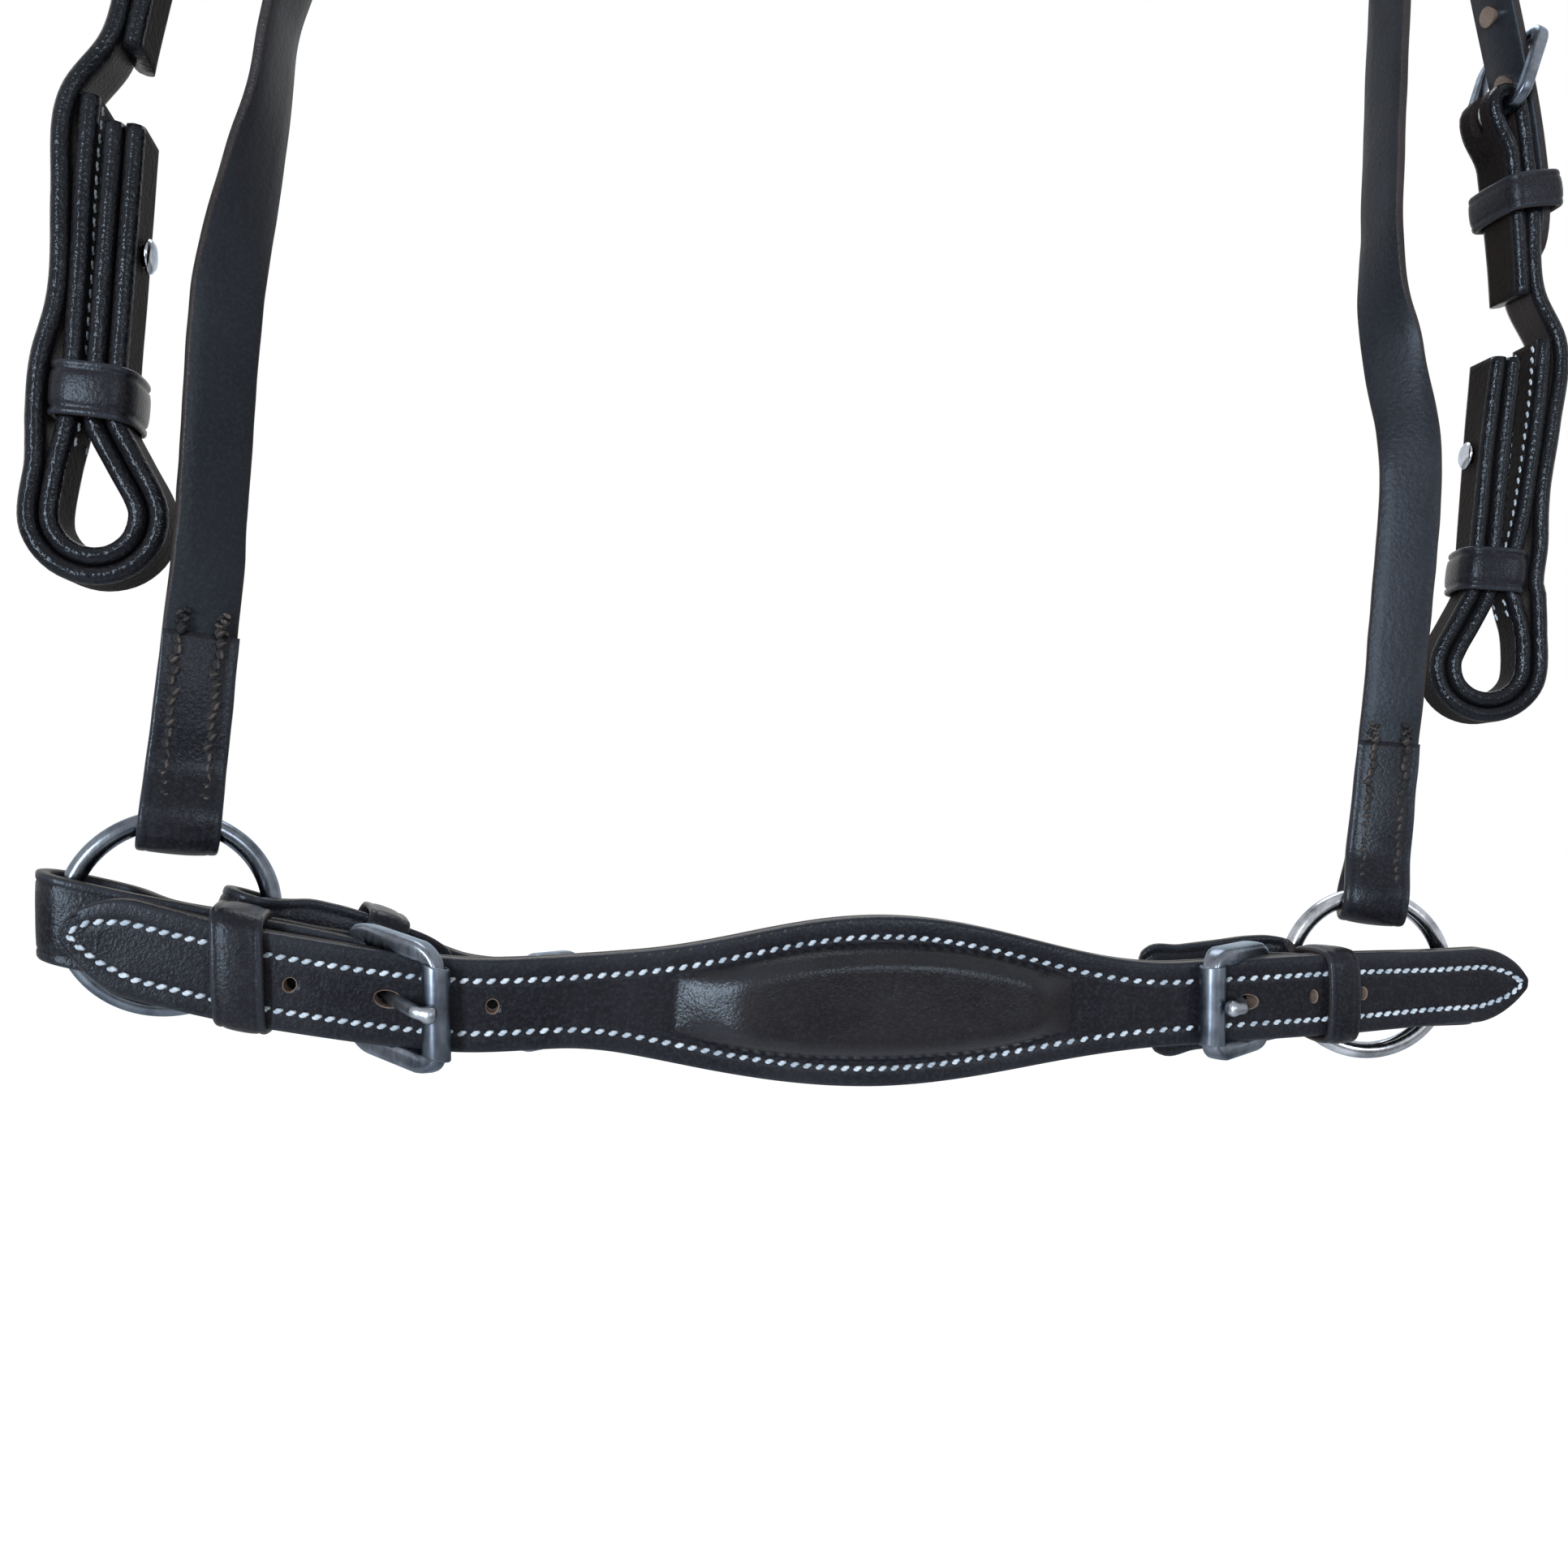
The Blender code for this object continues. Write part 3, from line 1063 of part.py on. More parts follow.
def add_browband():
    """The browband, a bowed band whose ends fold back round the headpiece and sliphead."""
    outer = HEAD_ARCH + HEAD_THICK / 2 + BROW_ROOM + BROW_THICK / 2
    inner = SLIP_ARCH - SLIP_THICK / 2 - BROW_ROOM - BROW_THICK / 2
    front = CROWN_DEPTH - HEAD_WIDTH / 2
    rear = CROWN_DEPTH + HEAD_WIDTH / 2 + BROW_ROOM
    start = front - BROW_THICK
    half = [(-outer, rear), (-outer, (front + rear) / 2), (-outer, start)]
    for degrees in (14, 28, 44, 62, 78):
        turned = math.radians(degrees)
        reach = (BROW_REACH + start) * math.sin(turned) ** 1.1
        half.append((-outer * math.cos(turned) ** 0.8, start - reach))
    places = [(x, y, BROW_HEIGHT) for x, y in half] + [(0, -BROW_REACH, BROW_HEIGHT)]
    places += [(-x, y, BROW_HEIGHT) for x, y in half[::-1]]
    spine = Spine(places, [(0, 0, 1)] * len(places))
    total = spine.length
    layer = BROW_THICK + 2 * FOLD_GAP
    deep = outer - inner
    side_length = rear - start
    w = BROW_END_WIDTH
    flap = [(side_length + 2.2 * deep + BROW_FLAP, -layer, w), (side_length + 1.4 * deep, -layer, w),
             (side_length + 0.5 * deep, -deep, w), (0, -deep, w)]
    fold = turn(0, -deep / 2, deep / 2, 270, 90, w)
    front_half = [(side_length, 0, w), (total / 4, 0, (w + BROW_WIDTH) / 2), (total / 2, 0, BROW_WIDTH)]
    first = spread(flap) + fold[1:] + spread(front_half)
    knots = first + [(total - s, out, wide) for s, out, wide in first[-2::-1]]
    add_piece("browband", ribbon(follow(spine, knots), BROW_THICK), LEATHER)


nose_holes = bmesh.new()
nose_strap, nose_lining = add_nose_strap()
for each_side in (-1, 1):
    add_nose_side(each_side, nose_holes)
    add_ring(each_side)
add_plain_holes(nose_holes)
nose_cutter = cutter("nose_strap_holes", nose_holes)
cut(nose_strap, nose_cutter)
cut(nose_lining, nose_cutter)
add_chin()
add_sliphead()
cheek_parts = {each_side: add_cheek(each_side) for each_side in (1, -1)}
throat_spines, throat_buckles = add_throatlash()
add_headpiece(cheek_parts, throat_spines, throat_buckles)
add_browband()
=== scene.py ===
"""A horse's bridle with a drop noseband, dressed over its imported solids.

The file follows the bridle from the noseband up. Places are measured from between the rings' middles.
"""

import bisect
import json
import math

import bmesh
import bpy
from mathutils import Matrix, Vector, noise


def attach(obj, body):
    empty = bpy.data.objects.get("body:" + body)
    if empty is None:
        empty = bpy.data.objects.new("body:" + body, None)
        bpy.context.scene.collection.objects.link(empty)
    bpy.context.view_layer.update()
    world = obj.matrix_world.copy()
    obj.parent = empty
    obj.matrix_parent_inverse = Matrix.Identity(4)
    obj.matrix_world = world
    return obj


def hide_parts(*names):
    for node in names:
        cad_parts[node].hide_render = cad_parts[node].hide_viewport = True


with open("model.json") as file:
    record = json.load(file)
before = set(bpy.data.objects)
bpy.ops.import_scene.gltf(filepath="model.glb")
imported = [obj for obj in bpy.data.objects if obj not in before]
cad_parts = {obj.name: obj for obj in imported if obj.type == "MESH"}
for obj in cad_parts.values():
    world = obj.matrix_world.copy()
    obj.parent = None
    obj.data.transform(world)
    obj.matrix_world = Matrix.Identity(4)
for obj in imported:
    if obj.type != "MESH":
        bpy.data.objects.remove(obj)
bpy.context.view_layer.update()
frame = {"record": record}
body_of = {node: body for body, nodes in frame["record"]["behaviour"]["bodies"].items() for node in nodes}
to_frame = Vector((0, -0.025, -0.490))

# Nose strap. Moulded black leather, sewn over a soft pad to a lining that shows as a second layer at the edges.
# It swells over the nose, and its pad ends in a wedge at both sides. Both tips are cut to a blunt point.
pad_middle, pad_reach, pad_rise = 0.00875, 0.0435, 0.0051
left_reach, right_reach = 0.1615, 0.1600
nose_face = 0.0025


class Wire:
    """A socket in an expression: an operator adds its Math node, and node() adds a node of any other kind."""

    def __init__(self, tree, socket=None):
        self.tree, self.socket = tree, socket

    def feed(self, made, inputs):
        """Gives a node's sockets their values or links."""
        for key, value in inputs.items():
            if isinstance(value, Wire):
                self.tree.links.new(value.socket, made.inputs[key])
            else:
                made.inputs[key].default_value = value

    def node(self, kind, inputs, result=0, **settings):
        """Adds a node, with its settings first, and returns one of its outputs."""
        made = self.tree.nodes.new(kind)
        for word, setting in settings.items():
            if word == "stops":
                for stop, (position, colour) in zip(made.color_ramp.elements, setting):
                    stop.position, stop.color = position, (*colour, 1)
            else:
                setattr(made, word, setting)
        self.feed(made, inputs)
        return Wire(self.tree, made.outputs[result])

    def __add__(self, other):
        return self.node("ShaderNodeMath", {0: self, 1: other}, operation="ADD")

    def __mul__(self, other):
        return self.node("ShaderNodeMath", {0: self, 1: other}, operation="MULTIPLY")

    def __sub__(self, other):
        return self.node("ShaderNodeMath", {0: self, 1: other}, operation="SUBTRACT")

    def __rsub__(self, other):
        return self.node("ShaderNodeMath", {0: other, 1: self}, operation="SUBTRACT")

    __radd__, __rmul__ = __add__, __mul__


def new_material(name, metallic, specular):
    """A material, a wire to start its expressions from, and its shader."""
    material = bpy.data.materials.new(name)
    material.use_nodes = True
    start, shader = Wire(material.node_tree), material.node_tree.nodes["Principled BSDF"]
    start.feed(shader, {"Metallic": metallic, "Specular IOR Level": specular, "Specular Tint": (0.78, 0.89, 1.0, 1)})
    return material, start, shader


def texture(start, scale, detail=4, stretch=None, kind="Noise", result="Fac", **settings):
    """Noise or cells on the piece's own coordinates."""
    place = start.node("ShaderNodeTexCoord", {}, "Object")
    if stretch:
        place = start.node("ShaderNodeMapping", {"Vector": place, "Scale": stretch}, "Vector")
    inputs = {"Vector": place, "Scale": scale, "Detail": detail, "Roughness": 0.6}
    return start.node("ShaderNodeTex" + kind, inputs, result, **settings)


def between(value, low, high, start, end):
    """A number that runs from start to end while the value runs from low to high."""
    inputs = {"Value": value, "From Min": low, "From Max": high, "To Min": start, "To Max": end}
    return value.node("ShaderNodeMapRange", inputs, "Result")


def shade(value, low, high, dark, light):
    """A colour that runs from dark to light while the value runs from low to high."""
    return value.node("ShaderNodeValToRGB", {"Fac": value}, "Color", stops=((low, dark), (high, light)))


def mix(factor, one, two):
    return factor.node("ShaderNodeMix", {"Factor": factor, 6: one, 7: two}, 2, data_type="RGBA")


def bump(height, depth):
    return height.node("ShaderNodeBump", {"Strength": 1.0, "Distance": depth, "Height": height}, "Normal")


def leather(name, dark, light, wear_and_sheen, rough, smooth, grain, depth, specular):
    """Leather whose colour varies softly, with fine pebbled grain. A vertex attribute is 1 where the leather shines
    from wear and takes its third, lighter bluish colour; that colour is partly wear and partly a painted sheen of the
    light on rounded edges and raised faces.
    """
    material, start, shader = new_material(name, 0, specular)
    wear_and_sheen = (*wear_and_sheen, 1)
    rub = start.node("ShaderNodeAttribute", {}, "Fac", attribute_name="rub")
    patches, specks = texture(start, 38, 5), texture(start, 1300, 2)
    cells = texture(start, grain, 1, kind="Voronoi", result="Distance", feature="SMOOTH_F1")
    colour = mix(between(specks, 0.45, 0.75, 0.0, 0.45), shade(patches, 0.32, 0.68, dark, light), wear_and_sheen)
    start.feed(shader, {
        "Base Color": mix(rub * between(patches, 0.3, 0.7, 0.35, 0.9), colour, wear_and_sheen),
        "Roughness": between(patches, 0.3, 0.7, rough - 0.05, rough + 0.06) - rub * (rough - smooth),
        "Normal": bump(cells + patches * 0.8, depth),
    })
    return material


# The third colour of each leather, lighter and bluish, is shine from wear and also a painted sheen of the light on
# edges and raised faces.
grain_look = leather("grain_leather", (0.0052, 0.0045, 0.0056), (0.0110, 0.0092, 0.0110), (0.028, 0.031, 0.039),
                     0.31, 0.23, 1500, 0.00006, 0.13)
pad_look = leather("pad_leather", (0.0062, 0.0046, 0.0048), (0.0120, 0.0090, 0.0092), (0.022, 0.022, 0.026),
                   0.30, 0.24, 1500, 0.00006, 0.22)
flesh_look = leather("flesh_leather", (0.0080, 0.0085, 0.0115), (0.0140, 0.0150, 0.0190), (0.026, 0.029, 0.035),
                     0.40, 0.28, 900, 0.00006, 0.15)
edge_look = leather("edge_leather", (0.012, 0.009, 0.009), (0.026, 0.019, 0.018), (0.038, 0.033, 0.033),
                    0.42, 0.32, 1900, 0.00008, 0.14)
LEATHER = [grain_look, edge_look, flesh_look]


def nose_line(x):
    side = 1 if x > 0 else -1
    inner = side * math.tan(math.radians(3.4))
    turned = math.tan(math.radians(5.5 if side > 0 else 7.5)) - inner
    past = min(max(abs(x) - 0.058, 0), 0.022)
    swell = max(0, 1 - (x / 0.080) ** 2) ** 2 * 0.0024
    raised = 0.0029 * math.exp(-((x + 0.059) / 0.023) ** 2) + 0.0026 * min(1, max(0, (-0.118 - x) / 0.032)) ** 1.4
    return -0.0122 + inner * abs(x) + turned * (past**2 / 0.044 + max(0, abs(x) - 0.080)) + swell + raised


def nose_width(x):
    share = 2 * (x - pad_middle) / 0.140
    swell = 0.5 + 0.5 * math.cos(math.pi * share) if abs(share) < 1 else 0
    left = min(1, max(0, ((right_reach if x > 0 else left_reach) - abs(x - pad_middle)) / 0.0135))
    slim = 1 - 0.06 * min(1, max(0, (x - 0.122) / 0.020))
    return (0.0188 + 0.0177 * swell) * slim * (0.10 + 0.90 * math.sin(left * math.pi / 2) ** 0.66)


def pad_inside(x, height):
    """How far inside the pad's outline a point is. The outline's corners are rounded."""
    share = min(1, abs(x - pad_middle) / pad_reach)
    above = (0.0105 + 0.0133 * (1 - share**2.2)) / 2 - abs(height)
    inward = pad_reach - abs(x - pad_middle)
    if above <= 0 or inward <= 0:
        return min(above, inward)
    return above + inward - math.sqrt(above**2 + inward**2)


def pad_bump(x, height):
    """How far the pad stands out there: a soft shoulder, wedges at both ends, and a faint seam in its top half."""
    inside = pad_inside(x, height)
    share = min(max((inside + 0.0007) / 0.0050, 0), 1)
    inward = max(0, pad_reach - abs(x - pad_middle))
    reach = 0.0130 if x < 0 else 0.0095
    wedge = min(1, 0.08 + 0.92 * inward / reach)
    wedge -= 0.05 * math.exp(-((inward - reach) / 0.0014) ** 2)
    bump_up = pad_rise * wedge * (1 - (1 - share) ** 2.2)
    foot = 0.00035 * math.exp(-((inside + 0.0012) / 0.0008) ** 2)
    seam_line = 0.00012 * math.exp(-((x - 0.0095 - height * 0.06) / 0.0004) ** 2) if height > 0.001 else 0
    return bump_up - foot - seam_line * share


def nose_ring(x):
    """One ring round the strap at x: points, the surface that starts at each, and how much shine from wear and painted
    sheen each carries.
    """
    half, middle = nose_width(x) / 2, nose_line(x)
    line = half - 0.0042
    edges = [(0, 0.0010), (0.00012, 0.00045), (0.0004, 0.00015), (0.0009, 0)]
    # The front edges carry the most, so their lighter bluish colour is a painted sheen as well as wear.
    side = [(half - a, b, 0, 0.9 - a * 600) for a, b in edges]
    if line > 0.0015:
        side += [(line + 0.0012, 0, 0, 0.2), (line + 0.0006, 0.00012, 0, 0.1), (line, 0.00022, 0, 0.05),
                 (line - 0.0006, 0.00012, 0, 0.1), (line - 0.0012, 0, 0, 0.2)]
        low = line - 0.0015
    else:
        side += [(half * share, 0, 0, 0.2) for share in (0.80, 0.72, 0.64, 0.56, 0.48)]
        low = half * 0.44
    side += [(low * (1 - i / 13), 0, 0, 0.05) for i in range(13)]
    rows = []
    for height, sunk, zone, wear_and_sheen in side + [(-a, b, c, d) for a, b, c, d in [(0, 0, 0, 0.05)] + side[::-1]]:
        lift = pad_bump(x, height)
        # The raised pad carries it too: wear on its shoulders and wedges, and a painted highlight where the light
        # catches them.
        wear_and_sheen = max(wear_and_sheen, 0.55 * min(1, max(0, lift / 0.0032)) * (1 if pad_inside(x, height) < 0.003 else 0.3))
        rows.append((height, -nose_face + sunk - lift, zone, max(0, wear_and_sheen)))
    rows += [(-half, 0.0001, 1, 0.3), (-half + 0.00025, 0.0005, 1, 0.1), (-half, 0.0009, 1, 0.3),
             (-half, 0.0019, 2, 0.4), (-half + 0.0006, nose_face, 2, 0.2)]
    rows += [(half * share, nose_face, 2, 0) for share in (-0.5, 0, 0.5)]
    rows += [(half - 0.0006, nose_face, 1, 0.2), (half, 0.0019, 1, 0.4), (half, 0.0009, 1, 0.3),
             (half - 0.00025, 0.0005, 1, 0.1), (half, 0.0001, 1, 0.3)]
    ring = []
    for height, y, zone, wear_and_sheen in rows:
        point = Vector((x, y, middle + height))
        point.y += noise.noise(point * 110) * 0.00012
        ring.append((point, zone, wear_and_sheen))
    return ring


def new_mesh():
    bm = bmesh.new()
    bm.verts.layers.float.new("rub")
    return bm


def skin(bm, rings, closed=False, zones=None, cap=0, round_too=True):
    """Joins rings of vertices with faces, and closes an open skin with a cap at each end."""
    size = len(rings[0])
    pairs = list(zip(rings, rings[1:])) + ([(rings[-1], rings[0])] if closed else [])
    for ring, following in pairs:
        for i in range(size if round_too else size - 1):
            j = (i + 1) % size
            face = bm.faces.new((ring[i], ring[j], following[j], following[i]))
            if zones:
                face.material_index = zones[i]
    if not closed:
        for ring in (rings[0], rings[-1]):
            face = bm.faces.new(ring)
            face.material_index = cap


def make(name, bm, looks, replaced):
    """Makes a piece that stands for the CAD nodes, and rides on the body of the first one."""
    bmesh.ops.recalc_face_normals(bm, faces=bm.faces)
    bmesh.ops.translate(bm, verts=bm.verts, vec=to_frame)
    mesh = bpy.data.meshes.new(name)
    bm.to_mesh(mesh)
    bm.free()
    for look in looks:
        mesh.materials.append(look)
    mesh.shade_smooth()
    piece = bpy.data.objects.new(name, mesh)
    bpy.context.scene.collection.objects.link(piece)
    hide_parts(*replaced)
    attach(piece, body_of[replaced[0]])
    return piece


nose_xs = [pad_middle - left_reach + (left_reach + right_reach) * i / 300 for i in range(301)]
for end, inward in ((pad_middle - left_reach, 1), (pad_middle + right_reach, -1)):
    nose_xs += [end + inward * 0.0002, end + inward * 0.0005]
nose_xs = sorted(nose_xs + [0.0095 + d for d in (-0.0006, -0.0003, -0.0001, 0.0001, 0.0003, 0.0006)])
bm = new_mesh()
rub = bm.verts.layers.float["rub"]
rings = []
for x in nose_xs:
    ring = []
    for point, zone, wear_and_sheen in nose_ring(x):
        vert = bm.verts.new(point)
        vert[rub] = wear_and_sheen
        ring.append(vert)
    rings.append(ring)
skin(bm, rings, zones=[zone for _, zone, _ in nose_ring(0)], cap=1)
for face in bm.faces:
    middle = face.calc_center_median()
    if face.material_index == 0 and pad_inside(middle.x, middle.z - nose_line(middle.x)) > 0:
        face.material_index = 3
nose_strap = make("nose_strap_dressed", bm, LEATHER + [pad_look],
                  ["nose_strap", "nose_strap_lining", "nose_pad_filling"])

# Rows of saddle stitching. White waxed thread runs along both edges of the nose strap and meets at the tips.
# Small pricks of brown thread show on the left part of the upper edge, where the lining is whipped on.
def thread_look(name, dark, light):
    """Waxed thread, soft and slightly soiled."""
    material, start, shader = new_material(name, 0, 0.3)
    patches, fibres = texture(start, 240), texture(start, 5200, 3, (1, 1, 3))
    start.feed(shader, {"Base Color": shade(patches, 0.35, 0.65, dark, light), "Roughness": 0.7,
                        "Normal": bump(fibres, 0.00005)})
    return material


white_thread = thread_look("white_thread", (0.27, 0.315, 0.365), (0.52, 0.565, 0.61))
brown_thread = thread_look("brown_thread", (0.014, 0.0105, 0.0095), (0.080, 0.062, 0.053))


def bake(piece):
    """Applies a piece's modifiers."""
    graph = bpy.context.evaluated_depsgraph_get()
    baked = bpy.data.meshes.new_from_object(piece.evaluated_get(graph), depsgraph=graph)
    old = piece.data
    piece.modifiers.clear()
    piece.data = baked
    baked.name = piece.name
    bpy.data.meshes.remove(old)


def stitch_mesh():
    """One twisted stitch of length, width and height 1, with its ends sunk into the leather."""
    bm = bmesh.new()
    rings = []
    for i in range(11):
        share = -1 + 2 * i / 10
        full = max(0.0, 1 - abs(share) ** 3) ** 0.5
        ring = []
        for j in range(10):
            t = 2 * math.pi * j / 10
            lobes = 1 + 0.22 * math.cos(2 * (t - 2.4 * share))
            ring.append(bm.verts.new((share / 2, math.cos(t) / 2 * lobes * (0.25 + 0.75 * full),
                                      math.sin(t) * lobes * (0.3 + 0.7 * full) - (1 - full) * 0.9)))
        rings.append(ring)
    skin(bm, rings)
    bmesh.ops.recalc_face_normals(bm, faces=bm.faces)
    mesh = bpy.data.meshes.new("stitch")
    bm.to_mesh(mesh)
    bm.free()
    mesh.shade_smooth()
    return mesh


def sewing_tree():
    """Sets a stitch on each point, turned by the point's own directions. Gives the identifiers of its inputs too."""
    tree = bpy.data.node_groups.new("sewing", "GeometryNodeTree")
    tree.interface.new_socket("Geometry", in_out="INPUT", socket_type="NodeSocketGeometry")
    tree.interface.new_socket("Geometry", in_out="OUTPUT", socket_type="NodeSocketGeometry")
    named = {}
    for word, kind in (("Stitch", "Object"), ("Thread", "Material"), ("Length", "Float"), ("Width", "Float"),
                       ("Height", "Float")):
        named[word] = tree.interface.new_socket(word, in_out="INPUT", socket_type="NodeSocket" + kind).identifier
    source = tree.nodes.new("NodeGroupInput")
    given = {word: Wire(tree, source.outputs[word]) for word in ("Geometry", *named)}
    start, turned = given["Geometry"], None
    for word, axis, pivot in (("along", "X", "AUTO"), ("out", "Z", "X")):
        field = start.node("GeometryNodeInputNamedAttribute", {"Name": word}, "Attribute", data_type="FLOAT_VECTOR")
        inputs = {"Vector": field, "Rotation": turned} if turned else {"Vector": field}
        turned = start.node("FunctionNodeAlignRotationToVector", inputs, "Rotation", axis=axis, pivot_axis=pivot)
    points = start.node("GeometryNodeMeshToPoints", {"Mesh": start}, "Points")
    single = start.node("GeometryNodeObjectInfo", {"Object": given["Stitch"]}, "Geometry")
    size = start.node("ShaderNodeCombineXYZ", {"X": given["Length"], "Y": given["Width"], "Z": given["Height"]})
    placed = start.node("GeometryNodeInstanceOnPoints",
                        {"Points": points, "Instance": single, "Rotation": turned, "Scale": size})
    smooth = start.node("GeometryNodeSetShadeSmooth", {"Geometry": start.node("GeometryNodeRealizeInstances",
                                                                              {"Geometry": placed})})
    painted = start.node("GeometryNodeSetMaterial", {"Geometry": smooth, "Material": given["Thread"]})
    start.feed(tree.nodes.new("NodeGroupOutput"), {0: painted})
    return tree, named


sewing, sewing_inputs = sewing_tree()


def sew(name, spots, body, look, length=0.0021, width=0.00092, height=0.00048):
    """One piece of stitches. A spot is a place, the stitch's own direction and the direction out."""
    mesh = bpy.data.meshes.new(name)
    mesh.from_pydata([place + to_frame for place, _, _ in spots], [], [])
    for word, column in (("along", 1), ("out", 2)):
        attribute = mesh.attributes.new(word, "FLOAT_VECTOR", "POINT")
        for row, spot in zip(attribute.data, spots):
            row.vector = spot[column]
    piece = bpy.data.objects.new(name, mesh)
    single = bpy.data.objects.new("stitch", stitch_mesh())
    for added in (piece, single):
        bpy.context.scene.collection.objects.link(added)
    modifier = piece.modifiers.new("sewing", "NODES")
    modifier.node_group = sewing
    for word, value in (("Stitch", single), ("Thread", look), ("Length", length), ("Width", width),
                        ("Height", height)):
        modifier[sewing_inputs[word]] = value
    bake(piece)
    bpy.data.objects.remove(single)
    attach(piece, body)
    return piece


def pitch_share(x):
    """The stitches are shorter towards both ends, and longest between the pad and the right buckle."""
    rows = [(-0.16, 0.83), (-0.10, 0.88), (-0.06, 1.0), (0.02, 0.98), (0.055, 1.14), (0.094, 1.14), (0.110, 0.83),
            (0.18, 0.83)]
    for (a, low), (b, high) in zip(rows, rows[1:]):
        if x < b:
            return low + (high - low) * max(0, x - a) / (b - a)
    return 0.83


def outline_row(upper, deep, pitch):
    """Spots along the strap's upper or lower edge at an inset, up to where both rows meet at the tips."""
    sign = 1 if upper else -1
    edge = [Vector((x, 0, nose_line(x) + sign * nose_width(x) / 2)) for x in nose_xs]
    path = []
    for i in range(1, len(edge) - 1):
        aim = (edge[i + 1] - edge[i - 1]).normalized()
        reach = min(edge[i].x - nose_xs[0], nose_xs[-1] - edge[i].x)
        inset = deep - (0.0019 * max(0, 1 - reach / 0.0085) ** 1.2 if deep > 0.002 else 0)
        point = edge[i] + Vector((aim.z, 0, -aim.x)) * inset * sign
        if (point.z - nose_line(point.x)) * sign > -0.0001 and (not path or point.x > path[-1].x):
            path.append(point)
    spots, travelled, wanted = [], 0, 0
    for a, b in zip(path, path[1:]):
        gap = (b - a).length
        while wanted <= travelled + gap and gap > 0:
            point = a.lerp(b, (wanted - travelled) / gap)
            aim = (b - a).normalized()
            spots.append((point, aim))
            wanted += pitch * pitch_share(point.x)
        travelled += gap
    if (path[-1] - spots[-1][0]).length > 0.0010:
        spots.append((path[-1], (path[-1] - path[-2]).normalized()))
    found = []
    for point, aim in spots:
        lift = pad_bump(point.x, point.z - nose_line(point.x))
        turned = Matrix.Rotation(math.radians(-24), 3, "Y") @ aim
        found.append((point + Vector((0, -nose_face + 0.00005 - lift, 0)), turned, Vector((0, -1, 0))))
    return found


stitch_pitch = 0.00280
nose_spots = outline_row(True, 0.0043, stitch_pitch) + outline_row(False, 0.0040, stitch_pitch)
sew("nose_stitches", nose_spots, "noseband", white_thread)
pricks = [spot for spot in outline_row(True, 0.0008, 0.0029) if -0.052 < spot[0].x < 0.002]
sew("nose_pricks", pricks, "noseband", brown_thread, 0.0009, 0.0004, 0.0002)

# Nose buckles, keepers and rings. Each steel buckle, with a rolled sleeve on its front rod, hangs on a leather chape
# that is folded round the ring's outer limb. The strap's end lies over the ring, held by one leather keeper.
ring_x, ring_y, ring_radius, ring_rod, ring_turn = 0.137, 0.0140, 0.019, 0.0020, math.radians(12.6)
nose_end, chape_thick, keeper_thick = 0.0188, 0.0026, 0.0016


def steel_look(name, dark, light, rough):
    """Worn steel, darker in patches, with fine scratches along it."""
    material, start, shader = new_material(name, 1, 0.5)
    patches, scratches = texture(start, 110), texture(start, 1500, 3, (1, 1, 0.12))
    start.feed(shader, {
        "Base Color": shade(patches * between(scratches, 0.3, 0.7, 0.97, 1.03), 0.34, 0.64, dark, light),
        "Roughness": between(scratches, 0.3, 0.7, rough - 0.05, rough + 0.07),
        "Normal": bump(scratches + patches, 0.00001),
    })
    return material


roller_steel = steel_look("rolled_steel", (0.055, 0.065, 0.085), (0.15, 0.172, 0.205), 0.36)
steel = steel_look("worn_steel", (0.070, 0.082, 0.105), (0.23, 0.255, 0.295), 0.27)
tongue_steel = steel_look("tongue_steel", (0.17, 0.185, 0.21), (0.38, 0.405, 0.44), 0.33)
# The left ring takes this darker copy of the steel and the right ring the brighter plain steel below: painted shade on
# the left ring, painted highlight on the right.
shaded_left_steel = steel_look("dull_steel", (0.070, 0.082, 0.105), (0.19, 0.215, 0.250), 0.22)
bright_steel = steel_look("plain_steel", (0.20, 0.21, 0.235), (0.62, 0.64, 0.68), 0.16)
raw_look = leather("raw_leather", (0.10, 0.066, 0.050), (0.20, 0.143, 0.117), (0.23, 0.18, 0.15),
                   0.75, 0.65, 1200, 0.00010, 0.1)


